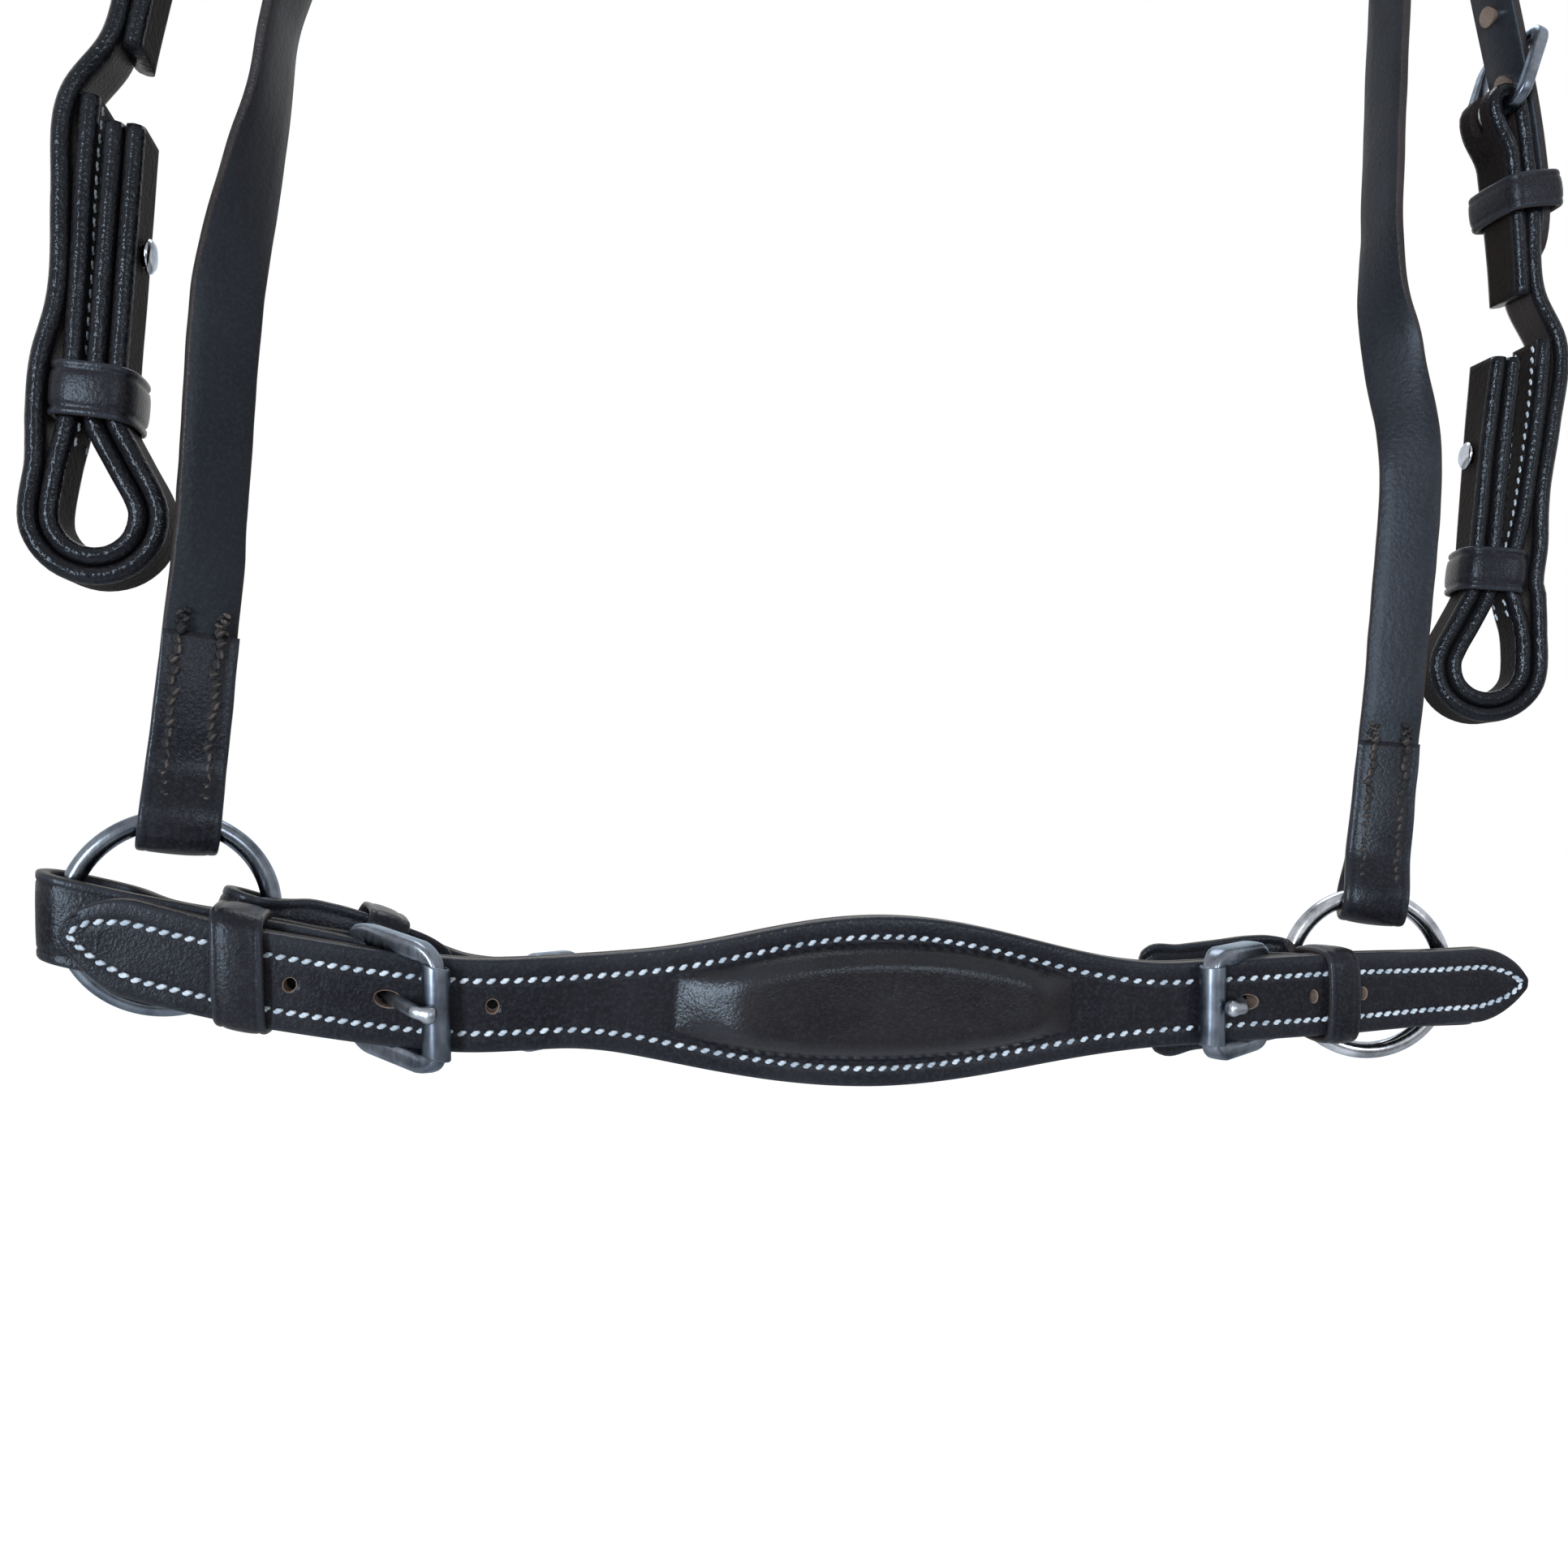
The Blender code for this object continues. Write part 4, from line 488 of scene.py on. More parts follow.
class Line:
    """A smooth line through places, with the directions along, across and out at each distance along it."""

    def __init__(self, places, acrosses, fineness=24):
        knots = [Vector(place) for place in places]
        sides = [Vector(across) for across in acrosses]
        ends = [knots[0] * 2 - knots[1]] + knots + [knots[-1] * 2 - knots[-2]]
        self.points, self.sides = [], []
        for i in range(len(knots) - 1):
            p0, p1, p2, p3 = ends[i : i + 4]
            for j in range(fineness):
                t = j / fineness
                self.points.append((p1 * 2 + (p2 - p0) * t + (p0 * 2 - p1 * 5 + p2 * 4 - p3) * t * t
                                    + (p1 * 3 - p0 - p2 * 3 + p3) * t * t * t) / 2)
                self.sides.append(sides[i].lerp(sides[i + 1], t))
        self.points.append(knots[-1])
        self.sides.append(sides[-1])
        self.reach = [0]
        for a, b in zip(self.points, self.points[1:]):
            self.reach.append(self.reach[-1] + (b - a).length)
        self.length = self.reach[-1]

    def aim(self, i):
        before, after = max(i - 1, 0), min(i + 1, len(self.points) - 1)
        return (self.points[after] - self.points[before]).normalized()

    def frame(self, s):
        i = min(max(bisect.bisect_right(self.reach, s) - 1, 0), len(self.points) - 2)
        share = (s - self.reach[i]) / (self.reach[i + 1] - self.reach[i])
        inside = min(max(share, 0), 1)
        along = self.aim(i).lerp(self.aim(i + 1), inside).normalized()
        across = self.sides[i].lerp(self.sides[i + 1], inside)
        across = (across - along * across.dot(along)).normalized()
        place = self.points[i].lerp(self.points[i + 1], inside)
        place = place + along * (min(s, 0) + max(s - self.length, 0))
        return place, along, across, along.cross(across)

    def at(self, s, out=0, side=0):
        place, _, across, outward = self.frame(s)
        return place + outward * out + across * side

    def crossing(self, values, wanted):
        for i, (low, high) in enumerate(zip(values, values[1:])):
            if min(low, high) <= wanted <= max(low, high) and low != high:
                return self.reach[i] + (self.reach[i + 1] - self.reach[i]) * (wanted - low) / (high - low)
        return 0

    def nearest(self, height):
        return self.crossing([point.z for point in self.points], height)

    def past(self, reach):
        return self.crossing([abs(point.x) for point in self.points], reach)


def spread(knots, step=0.012):
    """Adds knots so that none lie further apart than the step. A knot is s, out and width."""
    filled = [knots[0]]
    for before, after in zip(knots, knots[1:]):
        count = max(1, math.ceil(abs(after[0] - before[0]) / step - 0.01))
        for i in range(1, count + 1):
            filled.append(tuple(a + (b - a) * i / count for a, b in zip(before, after)))
    return filled


def turn(s, out, radius, start, end, width, count=8):
    """Knots round a fold, from one angle to another in degrees."""
    knots = []
    for i in range(count + 1):
        angle = math.radians(start + (end - start) * i / count)
        knots.append((s + radius * math.cos(angle), out + radius * math.sin(angle), width))
    return knots


def refine(rows, size, step, closed=False):
    """Puts smooth rows between rows, by the distance in their first few numbers."""
    count = len(rows)
    pairs = [(i, (i + 1) % count) for i in range(count if closed else count - 1)]
    gaps = [max(math.dist(rows[a][:size], rows[b][:size]), 1e-7) for a, b in pairs]

    def slope(i, column):
        before = i - 1 if i or closed else None
        after = i if i < len(gaps) else (0 if closed else None)
        left = None if before is None else (rows[i][column] - rows[before][column]) / gaps[before]
        ahead = None if after is None else (rows[(after + 1) % count][column] - rows[i][column]) / gaps[after]
        if left is None or ahead is None:
            return ahead if left is None else left
        return (left * gaps[after] + ahead * gaps[before]) / (gaps[after] + gaps[before])

    slopes = [[slope(i, column) for column in range(len(rows[0]))] for i in range(count)]
    fine = []
    for (a, b), gap in zip(pairs, gaps):
        steps = max(1, math.ceil(gap / step))
        for j in range(steps):
            t = j / steps
            blend = (2 * t**3 - 3 * t**2 + 1, (t**3 - 2 * t**2 + t) * gap, 3 * t**2 - 2 * t**3, (t**3 - t**2) * gap)
            fine.append(tuple(rows[a][c] * blend[0] + slopes[a][c] * blend[1] + rows[b][c] * blend[2]
                              + slopes[b][c] * blend[3] for c in range(len(rows[0]))))
    return fine if closed else fine + [tuple(rows[-1])]


def profile(width, thick, edge, crease, depth, crown=0.0):
    """Points round a strap: across, out, the surface that starts there, and how much shine from wear and painted sheen
    it carries.
    """
    half, deep = width / 2, thick / 2
    edge = min(edge, deep * 0.96, half * 0.4)
    under = min(edge, deep) * 0.7 if edge < deep * 0.8 else edge
    line = half - crease
    cut = depth * min(1, max(0, (line - 0.0012) / 0.001))
    line = max(line, half * 0.55)
    side = []
    for degrees, zone, wear_and_sheen in ((-90, 1, 0.1), (-45, 1, 0.3), (0, 1, 0.3)):
        t = math.radians(degrees)
        side.append((half - under + under * math.cos(t), -deep + under + under * math.sin(t), zone, wear_and_sheen))
    # The rounded front edge carries the most: shine from wear and a painted sheen of the light from above.
    for degrees, zone, wear_and_sheen in ((0, 1, 0.3), (35, 0, 0.8), (65, 0, 1), (90, 0, 0.7)):
        t = math.radians(degrees)
        zone = 1 if edge > 0.0015 and degrees < 90 else zone
        side.append((half - edge + edge * math.cos(t), deep - edge + edge * math.sin(t), zone, wear_and_sheen))
    groove = min(0.0005, (half - edge - line) * 0.5)
    side += [(line + groove, deep, 0, 0.25), (line, deep - cut, 0, 0), (line - groove, deep, 0, 0.25)]
    side += [(line * 0.62, deep + cut * 0.4, 0, 0.1), (line * 0.3, deep + cut * 0.6, 0, 0.05)]
    mirrored = []
    for i in range(len(side) - 1, -1, -1):
        a, b, _, wear_and_sheen = side[i]
        mirrored.append((-a, b, side[i - 1][2] if i else 2, wear_and_sheen))
    back = [(-half * 0.5, -deep, 2, 0), (0, -deep, 2, 0), (half * 0.5, -deep, 2, 0)]
    face = side + [(0, deep + cut * 0.6, 0, 0.05)] + mirrored
    return [(a, b + math.copysign(crown * (1 - (a / half) ** 2), b), zone, wear_and_sheen) for a, b, zone, wear_and_sheen in face + back]


def sweep(bm, stations, thick, edge=0.0007, crease=0.0019, depth=0.0002, flip=False, closed=False, wobble=0.00007,
          crown=0.0):
    """Sweeps a strap's outline through stations, each a place, the direction across and a width."""
    rub = bm.verts.layers.float["rub"]
    count = len(stations)
    rings = []
    for i, (place, across, width, *share) in enumerate(stations):
        before = stations[i - 1][0] if i or closed else place
        after = stations[(i + 1) % count][0] if i + 1 < count or closed else place
        aim = (after - before).normalized()
        across = (across - aim * across.dot(aim)).normalized()
        outward = aim.cross(across)
        rows = profile(width, thick * (share[0] if share else 1), edge, crease, depth, crown)
        ring = []
        for a, b, _, wear_and_sheen in rows:
            point = place + across * a + outward * (-b if flip else b)
            point += (outward * noise.noise(point * 95) + across * noise.noise(point * 130)) * wobble
            vert = bm.verts.new(point)
            vert[rub] = wear_and_sheen
            ring.append(vert)
        rings.append(ring)
    zones = [row[2] for row in rows]
    skin(bm, rings, closed, zones, cap=1)
    return rings


def on_line(line, knots, closed=False, step=0.002, far=0.0042):
    """Fine stations of a strap on a line. They lie further apart high up, out of the photograph's frame."""
    top = min(line.at(knot[0]).z for knot in knots)
    stations = []
    for s, out, *rest in refine(knots, 2, step if top < 0.19 else far, closed):
        place, _, across, outward = line.frame(s)
        stations.append((place + outward * out, across, *rest))
    return stations


def strap(node, line, knots, thick, looks=LEATHER, name=None, closed=False, step=0.002, far=0.0042, **how):
    """A leather strap through its knots on a line. It stands for one CAD node."""
    bm = new_mesh()
    sweep(bm, on_line(line, knots, closed, step, far), thick, closed=closed, **how)
    return make((name or node) + "_dressed", bm, looks, [node])


def swept_rod(bm, points, radius, sides=12, squareness=2.0, closed=False, flat=1.0):
    """A rod along points in one plane, whose section is round at a squareness of 2 and squarer above."""
    count = len(points)
    normal = Vector((0, 0, 0))
    for a, b in zip(points, points[1:]):
        normal += (a - points[0]).cross(b - points[0])
    normal.normalize()
    radii = radius if isinstance(radius, list) else [radius] * count
    rings = []
    for i, point in enumerate(points):
        before = points[i - 1] if i or closed else point
        after = points[(i + 1) % count] if i + 1 < count or closed else point
        side = (after - before).normalized().cross(normal)
        ring = []
        for j in range(sides):
            t = 2 * math.pi * (j + 0.5) / sides
            c, d = math.cos(t), math.sin(t)
            r = radii[i] / (abs(c) ** squareness + abs(d) ** squareness) ** (1 / squareness)
            ring.append(bm.verts.new(point + (side * c + normal * d * flat) * r))
        rings.append(ring)
    skin(bm, rings, closed)


def oval(bm, line, s, half_along, half_across, thick, out=0, flare=0.0002, sides=28):
    """Adds an oval plug through a strap, flared at both faces so that the hole's rim is rounded."""
    place, along, across, outward = line.frame(s)
    deep = thick / 2
    levels = [(-deep - 0.002, flare * 5), (-deep, flare), (-deep + flare, 0), (deep - flare, 0), (deep, flare),
              (deep + 0.002, flare * 5)]
    rings = []
    for level, grow in levels:
        ring = []
        for i in range(sides):
            t = 2 * math.pi * (i + 0.5) / sides
            shift = along * (half_along + grow) * math.cos(t) + across * (half_across + grow) * math.sin(t)
            ring.append(bm.verts.new(place + outward * (out + level) + shift))
        rings.append(ring)
    skin(bm, rings)


def carve(piece, bm, look):
    """Cuts the bmesh out of a piece and leaves the look on the cut faces."""
    bmesh.ops.recalc_face_normals(bm, faces=bm.faces)
    bmesh.ops.translate(bm, verts=bm.verts, vec=to_frame)
    mesh = bpy.data.meshes.new("cutter")
    bm.to_mesh(mesh)
    bm.free()
    mesh.materials.append(look)
    tool = bpy.data.objects.new("cutter", mesh)
    bpy.context.scene.collection.objects.link(tool)
    modifier = piece.modifiers.new("cut", "BOOLEAN")
    modifier.operation = "DIFFERENCE"
    modifier.solver = "EXACT"
    modifier.material_mode = "TRANSFER"
    modifier.object = tool
    bake(piece)
    bpy.data.objects.remove(tool)
    bpy.data.meshes.remove(mesh)


class Buckle:
    """A buckle on a strap. Its places are given along the strap from the front rod, across, and out of it."""

    def __init__(self, line, start, strap_thick, strap_width, length, chape_thick, roller=False, out=0, margin=0.0031,
                 end=0.0, hole=0.57):
        self.line, self.start, self.level, self.margin, self.end = line, start, out, margin, end
        self.strap, self.width, self.length, self.has_roller = strap_thick, strap_width, length, roller
        self.front_radius = 0.0026 if roller else 0.0016
        self.front_out = strap_thick / 2 + 0.0003 + self.front_radius
        self.bar_out = -(strap_thick / 2 + 0.0006 + chape_thick + 0.0016)
        self.fold_radius = 0.0019 + chape_thick / 2
        self.layer_out = -(strap_thick / 2 + 0.0003 + chape_thick / 2)
        self.back_layer_out = self.layer_out - chape_thick - 0.0008
        self.hole = hole * length
        self.place, self.along, self.across, self.outward = line.frame(start + length / 2)
        self.place = self.place + self.outward * out - self.along * length / 2

    def point(self, along, across, out):
        return self.place + self.along * along + self.across * across + self.outward * out

    def frame(self, name, look):
        """The frame, of one thick rod, bent square and a little flattened."""
        half = self.width / 2 + self.margin
        corner = 0.0032
        tilt = (self.bar_out - self.front_out) / self.length
        path, radii = [], []
        limb, front = (0.0021, 0.0015) if self.has_roller else (0.0015, 0.0015)
        for along, across, start in ((0, -1, 180), (self.length, -1, 270), (self.length, 1, 0), (0, 1, 90)):
            middle_along = along + (corner if along == 0 else -corner)
            for i in range(9):
                t = math.radians(start + 90 / 8 * i)
                a = middle_along + corner * math.cos(t)
                b = across * (half - corner) + corner * math.sin(t)
                path.append(self.point(a, b, self.front_out + tilt * a))
                radii.append(front + (limb - front) * min(1, a / corner))
        bm = new_mesh()
        swept_rod(bm, path, radii, 24, 4.5, closed=True, flat=1.3 if self.has_roller else 1.0)
        return make(name + "_dressed", bm, [look], [name])

    def roller(self, name, look):
        """The roller: sheet steel rolled into a tube, whose seam stays open a little."""
        half = self.width / 2 - 0.0006
        bm = new_mesh()
        rings = []
        for share, shrink in ((-1, 0.5), (-0.985, 0.15), (-0.95, 0), (-0.5, 0), (0, 0), (0.5, 0), (0.95, 0),
                              (0.985, 0.15), (1, 0.5)):
            ring = []
            for radius, turns in ((0.0029 - 0.0004 * shrink, range(41)), (0.0021 + 0.0004 * shrink, range(40, -1, -1))):
                for j in turns:
                    t = math.radians(205 + 6 + 348 * j / 40)
                    ray = self.along * math.cos(t) + self.outward * math.sin(t)
                    dent = 1 - 0.035 * math.exp(-((math.degrees(t) - 470) / 14) ** 2)
                    ring.append(bm.verts.new(self.point(0, share * half, self.front_out) + ray * radius * dent))
            rings.append(ring)
        skin(bm, rings)
        return make(name + "_dressed", bm, [look], [name])

    def tongue(self, name, look):
        """The tongue: an eye round the bar, a shank through the hole, and a thick rounded end on the front rod."""
        rod, eye = 0.0013, 0.0032
        tip_rod = 0.0015 if self.has_roller else 0.0013
        rows = []
        for i in range(12):
            t = math.radians(475 - 295 * i / 11)
            rows.append((self.length + eye * math.cos(t), self.bar_out + eye * math.sin(t), rod * 0.96))
        reach = self.strap / 2 + rod
        top = self.front_out + self.front_radius + 0.0003 + rod
        lean = reach * 0.53
        rows += [(self.length - eye - rod / 2, (self.bar_out - reach - 0.0003) / 2, rod),
                 (self.hole + lean, -reach - 0.0003, rod), (self.hole - lean, reach, rod),
                 (self.hole / 2 + self.end / 2, reach + (top - reach) * 0.80, rod)]
        rows += [(self.end + far, top - sunk, tip_rod * share) for far, sunk, share in
                 ((0.0040, 0, 0.84), (0.0030, 0, 0.92), (0.0022, 0, 1.12), (0.0014, 0, 1.20), (0.0007, 0, 1.06),
                  (0.0003, 0, 0.80), (0.0001, 0, 0.5), (0, 0, 0.2))]
        fine = refine(rows, 2, 0.0005)
        bm = new_mesh()
        swept_rod(bm, [self.point(a, 0, b) for a, b, _ in fine], [r for _, _, r in fine], 16, 2.2)
        return make(name + "_dressed", bm, [look], [name])

    def strap_hole(self, bm):
        """The plug of the hole in the strap that the tongue stands in."""
        reach = self.strap / 2 + 0.0013
        low, high = self.hole - reach * 0.53, self.hole + reach * 0.53 + 0.0009
        oval(bm, self.line, self.start + (low + high) / 2, (high - low) / 2 + 0.0002, 0.0016, self.strap, self.level)

    def chape_slot(self, piece):
        """Cuts the slot in the chape that the tongue's eye sits in, with round ends."""
        low, high = self.length - 0.0102, self.length + 0.0047
        near, far = self.strap / 2, self.bar_out - self.fold_radius - (-self.bar_out - self.strap / 2 - 0.0022)
        bm = new_mesh()
        rings = []
        for out in (near, far):
            ring = []
            for i in range(24):
                t = 2 * math.pi * (i + 0.5) / 24
                middle = high - 0.0018 if math.cos(t) > 0 else low + 0.0018
                ring.append(bm.verts.new(self.point(middle + 0.0018 * math.cos(t), 0.0018 * math.sin(t), out)))
            rings.append(ring)
        skin(bm, rings)
        carve(piece, bm, edge_look)

    def bar_turn(self, width, backwards=False):
        bar, fold = self.start + self.length, self.fold_radius
        knots = turn(bar, self.level + self.bar_out, fold, 90, 270, width)
        knots.append((bar + fold / 2, self.level + self.bar_out - fold, width))
        knots.append((bar + 3.4 * fold, self.level + self.back_layer_out, width))
        return knots[::-1] if backwards else knots

    def knot(self, along, out, width):
        return self.start + along, self.level + out, width


def lean_over(piece, line, share):
    """Leans a piece along its straight line, so that its ends stand upright although the line slants."""
    _, along, across, _ = line.frame(0)
    place = line.at(0) + to_frame
    for vert in piece.data.vertices:
        vert.co += along * (vert.co - place).dot(across) * share


def keeper(name, line, s, low, high, width, length, thick, beaded=False):
    """A closed band round a strap, with a crease near each rim, or a raised bead along it."""
    place, along, across, outward = line.frame(s)
    deep = (high - low) / 2 + 0.0006 + thick / 2
    wide = width / 2 + 0.0006 + thick / 2
    corner = min(0.0040 if beaded else 0.0030, deep * 0.9)
    rows = []
    for a, b, start in ((1, 1, 0), (-1, 1, 90), (-1, -1, 180), (1, -1, 270)):
        for i in range(7):
            t = math.radians(start + 15 * i)
            rows.append((a * (wide - corner) + corner * math.cos(t), b * (deep - corner) + corner * math.sin(t)))
    stations = []
    for x, y in refine(rows, 2, 0.0012, closed=True):
        swell = 1 + 0.015 * math.sin(3 * math.atan2(y, x) + 900 * s)
        stations.append((place + across * x * swell + outward * ((low + high) / 2 + y), along, length))
    bm = new_mesh()
    crease, depth = (0.0017, 0.0004) if beaded else (0.0016, 0.00016)
    sweep(bm, stations, thick * 0.94, thick * 0.42, crease, depth, closed=True, crown=0.0 if beaded else 0.0003)
    return make(name + "_dressed", bm, LEATHER, [name])


def nose_half(side):
    reaches = [(left_reach + pad_middle) * i / 24 for i in range(25)]
    places = [(side * reach, 0, nose_line(side * reach)) for reach in reaches]
    return Line(places, [(0, 0, side)] * 25, 4)


nose_holes = new_mesh()
for side, word in ((-1, "left"), (1, "right")):
    slant = math.radians(10.3 if side < 0 else 3.8)
    aim = Vector((side * math.cos(slant), 0, math.sin(slant)))
    reach, length = (0.0829, 0.0162) if side < 0 else (0.0846, 0.0190)
    start = Vector((side * reach, 0, nose_line(side * reach) - (0.0010 if side < 0 else 0)))
    line = Line([start, start + aim * 0.040], [(0, 0, side)] * 2)
    buckle = Buckle(line, 0, 2 * nose_face, nose_end, length, chape_thick, roller=True, margin=0.0012,
                    end=-0.0004 if side < 0 else 0.0010, hole=0.57 if side < 0 else 0.53)
    upright = [buckle.frame("nose_buckle_frame_" + word, steel), buckle.roller("nose_roller_" + word, roller_steel)]
    buckle.tongue("nose_tongue_" + word, tongue_steel)
    buckle.strap_hole(nose_holes)
    limb = (ring_x + ring_radius * math.cos(ring_turn) - abs(start.x)) / math.cos(slant)
    limb -= 0.0016 if side < 0 else 0
    radius = ring_rod + 0.0018 + 0.0013
    fold_out = buckle.layer_out - radius
    width, narrow = nose_end, 0.0166
    knots = buckle.bar_turn(width)
    knots += spread([buckle.knot(length + 4 * buckle.fold_radius, buckle.back_layer_out, width),
                     buckle.knot(limb - 4 * radius, buckle.back_layer_out, narrow),
                     buckle.knot(limb - 2 * radius, fold_out - radius, narrow)])
    knots += turn(limb, fold_out, radius, 270, 450, narrow, 12)
    knots += spread([buckle.knot(limb - 2 * radius, buckle.layer_out, narrow),
                     buckle.knot(length + 0.006, buckle.layer_out, width)])
    chape = strap("nose_chape_" + word, line, knots, chape_thick, closed=True, step=0.0012, flip=True)
    buckle.chape_slot(chape)
    upright.append(chape)

    held = 0.1207 if side < 0 else 0.1186
    keeper_s = (held - abs(start.x)) / math.cos(slant)
    middle = line.at(keeper_s)
    apart = middle.z - nose_line(side * held)
    keeper_line = Line([start, middle - Vector((0, 0, apart / 2))], [(0, 0, side)] * 2)
    wide, long = (0.0164, 0.0100) if side < 0 else (0.0180, 0.0080)
    upright.append(keeper("nose_keeper_" + word, keeper_line, keeper_line.length,
                          buckle.back_layer_out - chape_thick / 2, nose_face, wide + apart, long, keeper_thick))
    if side < 0:
        for piece in upright:
            lean_over(piece, line, -math.tan(math.radians(15)))
    half_line = nose_half(side)
    for reach in (0.0722, 0.1110) if side < 0 else (0.1118, 0.1246):
        oval(nose_holes, half_line, half_line.past(reach), 0.0012 if side < 0 else 0.0010, 0.0014, 2 * nose_face)
    middle = Vector((side * ring_x, ring_y, 0))
    flat = Vector((side * math.cos(ring_turn), -math.sin(ring_turn), 0))
    circle = [middle + (flat * math.cos(t) + Vector((0, 0, math.sin(t)))) * ring_radius
              for t in (2 * math.pi * i / 96 for i in range(96))]
    bm = new_mesh()
    swept_rod(bm, circle, ring_rod, 20, closed=True)
    # The left ring's darker steel is painted shade, and the right ring's brighter steel is a painted highlight.
    make("ring_" + word + "_dressed", bm, [shaded_left_steel if side < 0 else bright_steel], ["ring_" + word])
carve(nose_strap, nose_holes, raw_look)


# Chin strap. Leather, with a wide guard behind each end of the nose strap, folded round the ring's inner limb.
# It runs back round the chin to a plain steel buckle, which hangs on the short tab of the left guard.
def tip(s, width, length, out, direction=1):
    """Knots that narrow a strap to a rounded point at s."""
    shares = [(1, 1), (0.8, 0.965), (0.6, 0.885), (0.4, 0.75), (0.24, 0.59), (0.12, 0.42), (0.04, 0.28), (0, 0.16)]
    return [(s - direction * length * back, out, width * wide) for back, wide in shares]


drop = math.radians(12)
limb = Vector((ring_x - ring_radius * math.cos(ring_turn) * math.cos(drop),
               ring_y + ring_radius * math.sin(ring_turn) * math.cos(drop) + 0.0003,
               -ring_radius * math.sin(drop)))
places = [(limb.x * reach, limb.y + (0.050 - limb.y) * back, limb.z - 0.0152 * sag) for reach, back, sag in
          ((1, 0, 0), (0.84, 0.12, 0.26), (0.65, 0.34, 0.58), (0.40, 0.70, 0.92), (0.20, 0.93, 1.12), (0, 1, 1.20),
           (-0.20, 0.93, 1.17), (-0.40, 0.70, 1.05), (-0.65, 0.34, 0.92), (-0.84, 0.12, 0.36), (-1, 0, 0))]
line = Line(places, [(0, 0, 1)] * len(places))
total, radius, tab, w, chin_thick = line.length, 0.00505, 0.0033, 0.019, 0.0025
plain_buckle, keeper_length = 0.016, 0.009
easing = 2.6 * radius
bar_s = total - line.past(0.064)
buckle = Buckle(line, bar_s - plain_buckle, chin_thick, w, plain_buckle, chin_thick, out=2 * tab, margin=0.0004)


def guard(start, direction, full, blunt=1.0):
    """Widths along a guard from its rounded end, as distance along and width."""
    rows = [(far * blunt, wide) for far, wide in
            ((0, 0.50), (0.0006, 0.70), (0.0018, 0.84), (0.0036, 0.945), (0.006, 1))]
    rows += [(0.0280, 1), (0.0330, 0.95), (0.0366, 0.84)]
    return [(start + direction * far, full * wide) for far, wide in rows]


knots = spread([(s, -tab, wide) for s, wide in guard(total - 0.038, 1, 0.0204)])
knots += turn(total + 0.0052, 0, radius, -90, 90, 0.0145, 10)
knots += [(total - easing, tab, 0.016), (total - 1.4 * easing, tab, w)]
knots += spread([knots[-1], buckle.knot(plain_buckle, buckle.layer_out, w)])[1:-1]
knots += buckle.bar_turn(w)
knots += spread([buckle.knot(plain_buckle + 4 * buckle.fold_radius, buckle.back_layer_out, w),
                 (total - 1.1 * easing, 0, w)])
piece = strap("chin_tab_left", line, knots, chin_thick, name="chin_tab", step=0.0014, flip=True)
buckle.chape_slot(piece)
buckle.frame("chin_buckle_frame", steel)
buckle.tongue("chin_tongue", bright_steel)
layer = 0.00165
knots = spread([(s, -layer, wide) for s, wide in guard(0.0364, -1, 0.0260, 0.4)])
knots += turn(-0.001, 0, radius, 270, 90, 0.016, 10)
knots += spread([(easing, layer, 0.016), (1.4 * easing, layer, w), (total / 2, layer, w),
                 (buckle.start - 0.012, 2 * tab, w)])
tip_s = total - (ring_x - ring_radius - 0.108) - 0.5 * easing
knots += spread([knots[-1], (tip_s - 0.017, 2 * tab, w)])[1:]
knots += tip(tip_s, w, 0.017, 2 * tab)[1:]
piece = strap("chin_strap", line, knots, chin_thick, step=0.0014)
bm = new_mesh()
buckle.strap_hole(bm)
carve(piece, bm, raw_look)
keeper("chin_keeper", line, bar_s + 0.0375, -tab - 0.00125, 2 * tab + 0.00125, 0.0198, keeper_length,
       0.0012)

# Sliphead. One long leather strap on the right ring that goes over the poll and is buckled to the left hanger.
# Both hangers show their rough back, with the skived end of the fold in front, sewn down with brown thread.
# Near-black thread, for the dark knots at the flap's end, and also laid as flat patches under the hanger stitches as
# painted shade.
dark_thread = thread_look("dark_thread", (0.006, 0.005, 0.005), (0.016, 0.012, 0.011))
sweep_high = 0.3675
poll_depth = 0.025
poll_radius = 0.124
upright = (
    (0.019, 0, 0, 0.17, 0), (0.057, 0, 0, 0.22, 0.10), (0.080, 0, 0, 0.20, 0.32), (0.125, 0, 0, 0.22, 0.30),
    (0.1544, 0.2, 0.5, 0.48, 0.60), (0.1838, 0.5, 0.6, 1, 0.86), (0.2867, 0.85, 0.6, 1, 1), (0.3308, 1, 0.75, 1, 1),
)


def hanging(side):
    """One side of the sliphead from the ring up: places, and the directions across, that turn on the way."""
    rows = []
    for height, inward, depth, turned_right, turned_left in upright:
        t = ring_turn + (math.pi / 2 - ring_turn) * (turned_right if side > 0 else turned_left)
        bowed = (0.0020 if side > 0 else -0.0020) * math.sin(math.pi * min(1, (height - 0.010) / 0.175))
        rows.append(((side * (ring_x - 0.013 * inward + bowed), ring_y + 0.011 * depth, height),
                     (side * math.cos(t), -math.sin(t), 0)))
    return rows


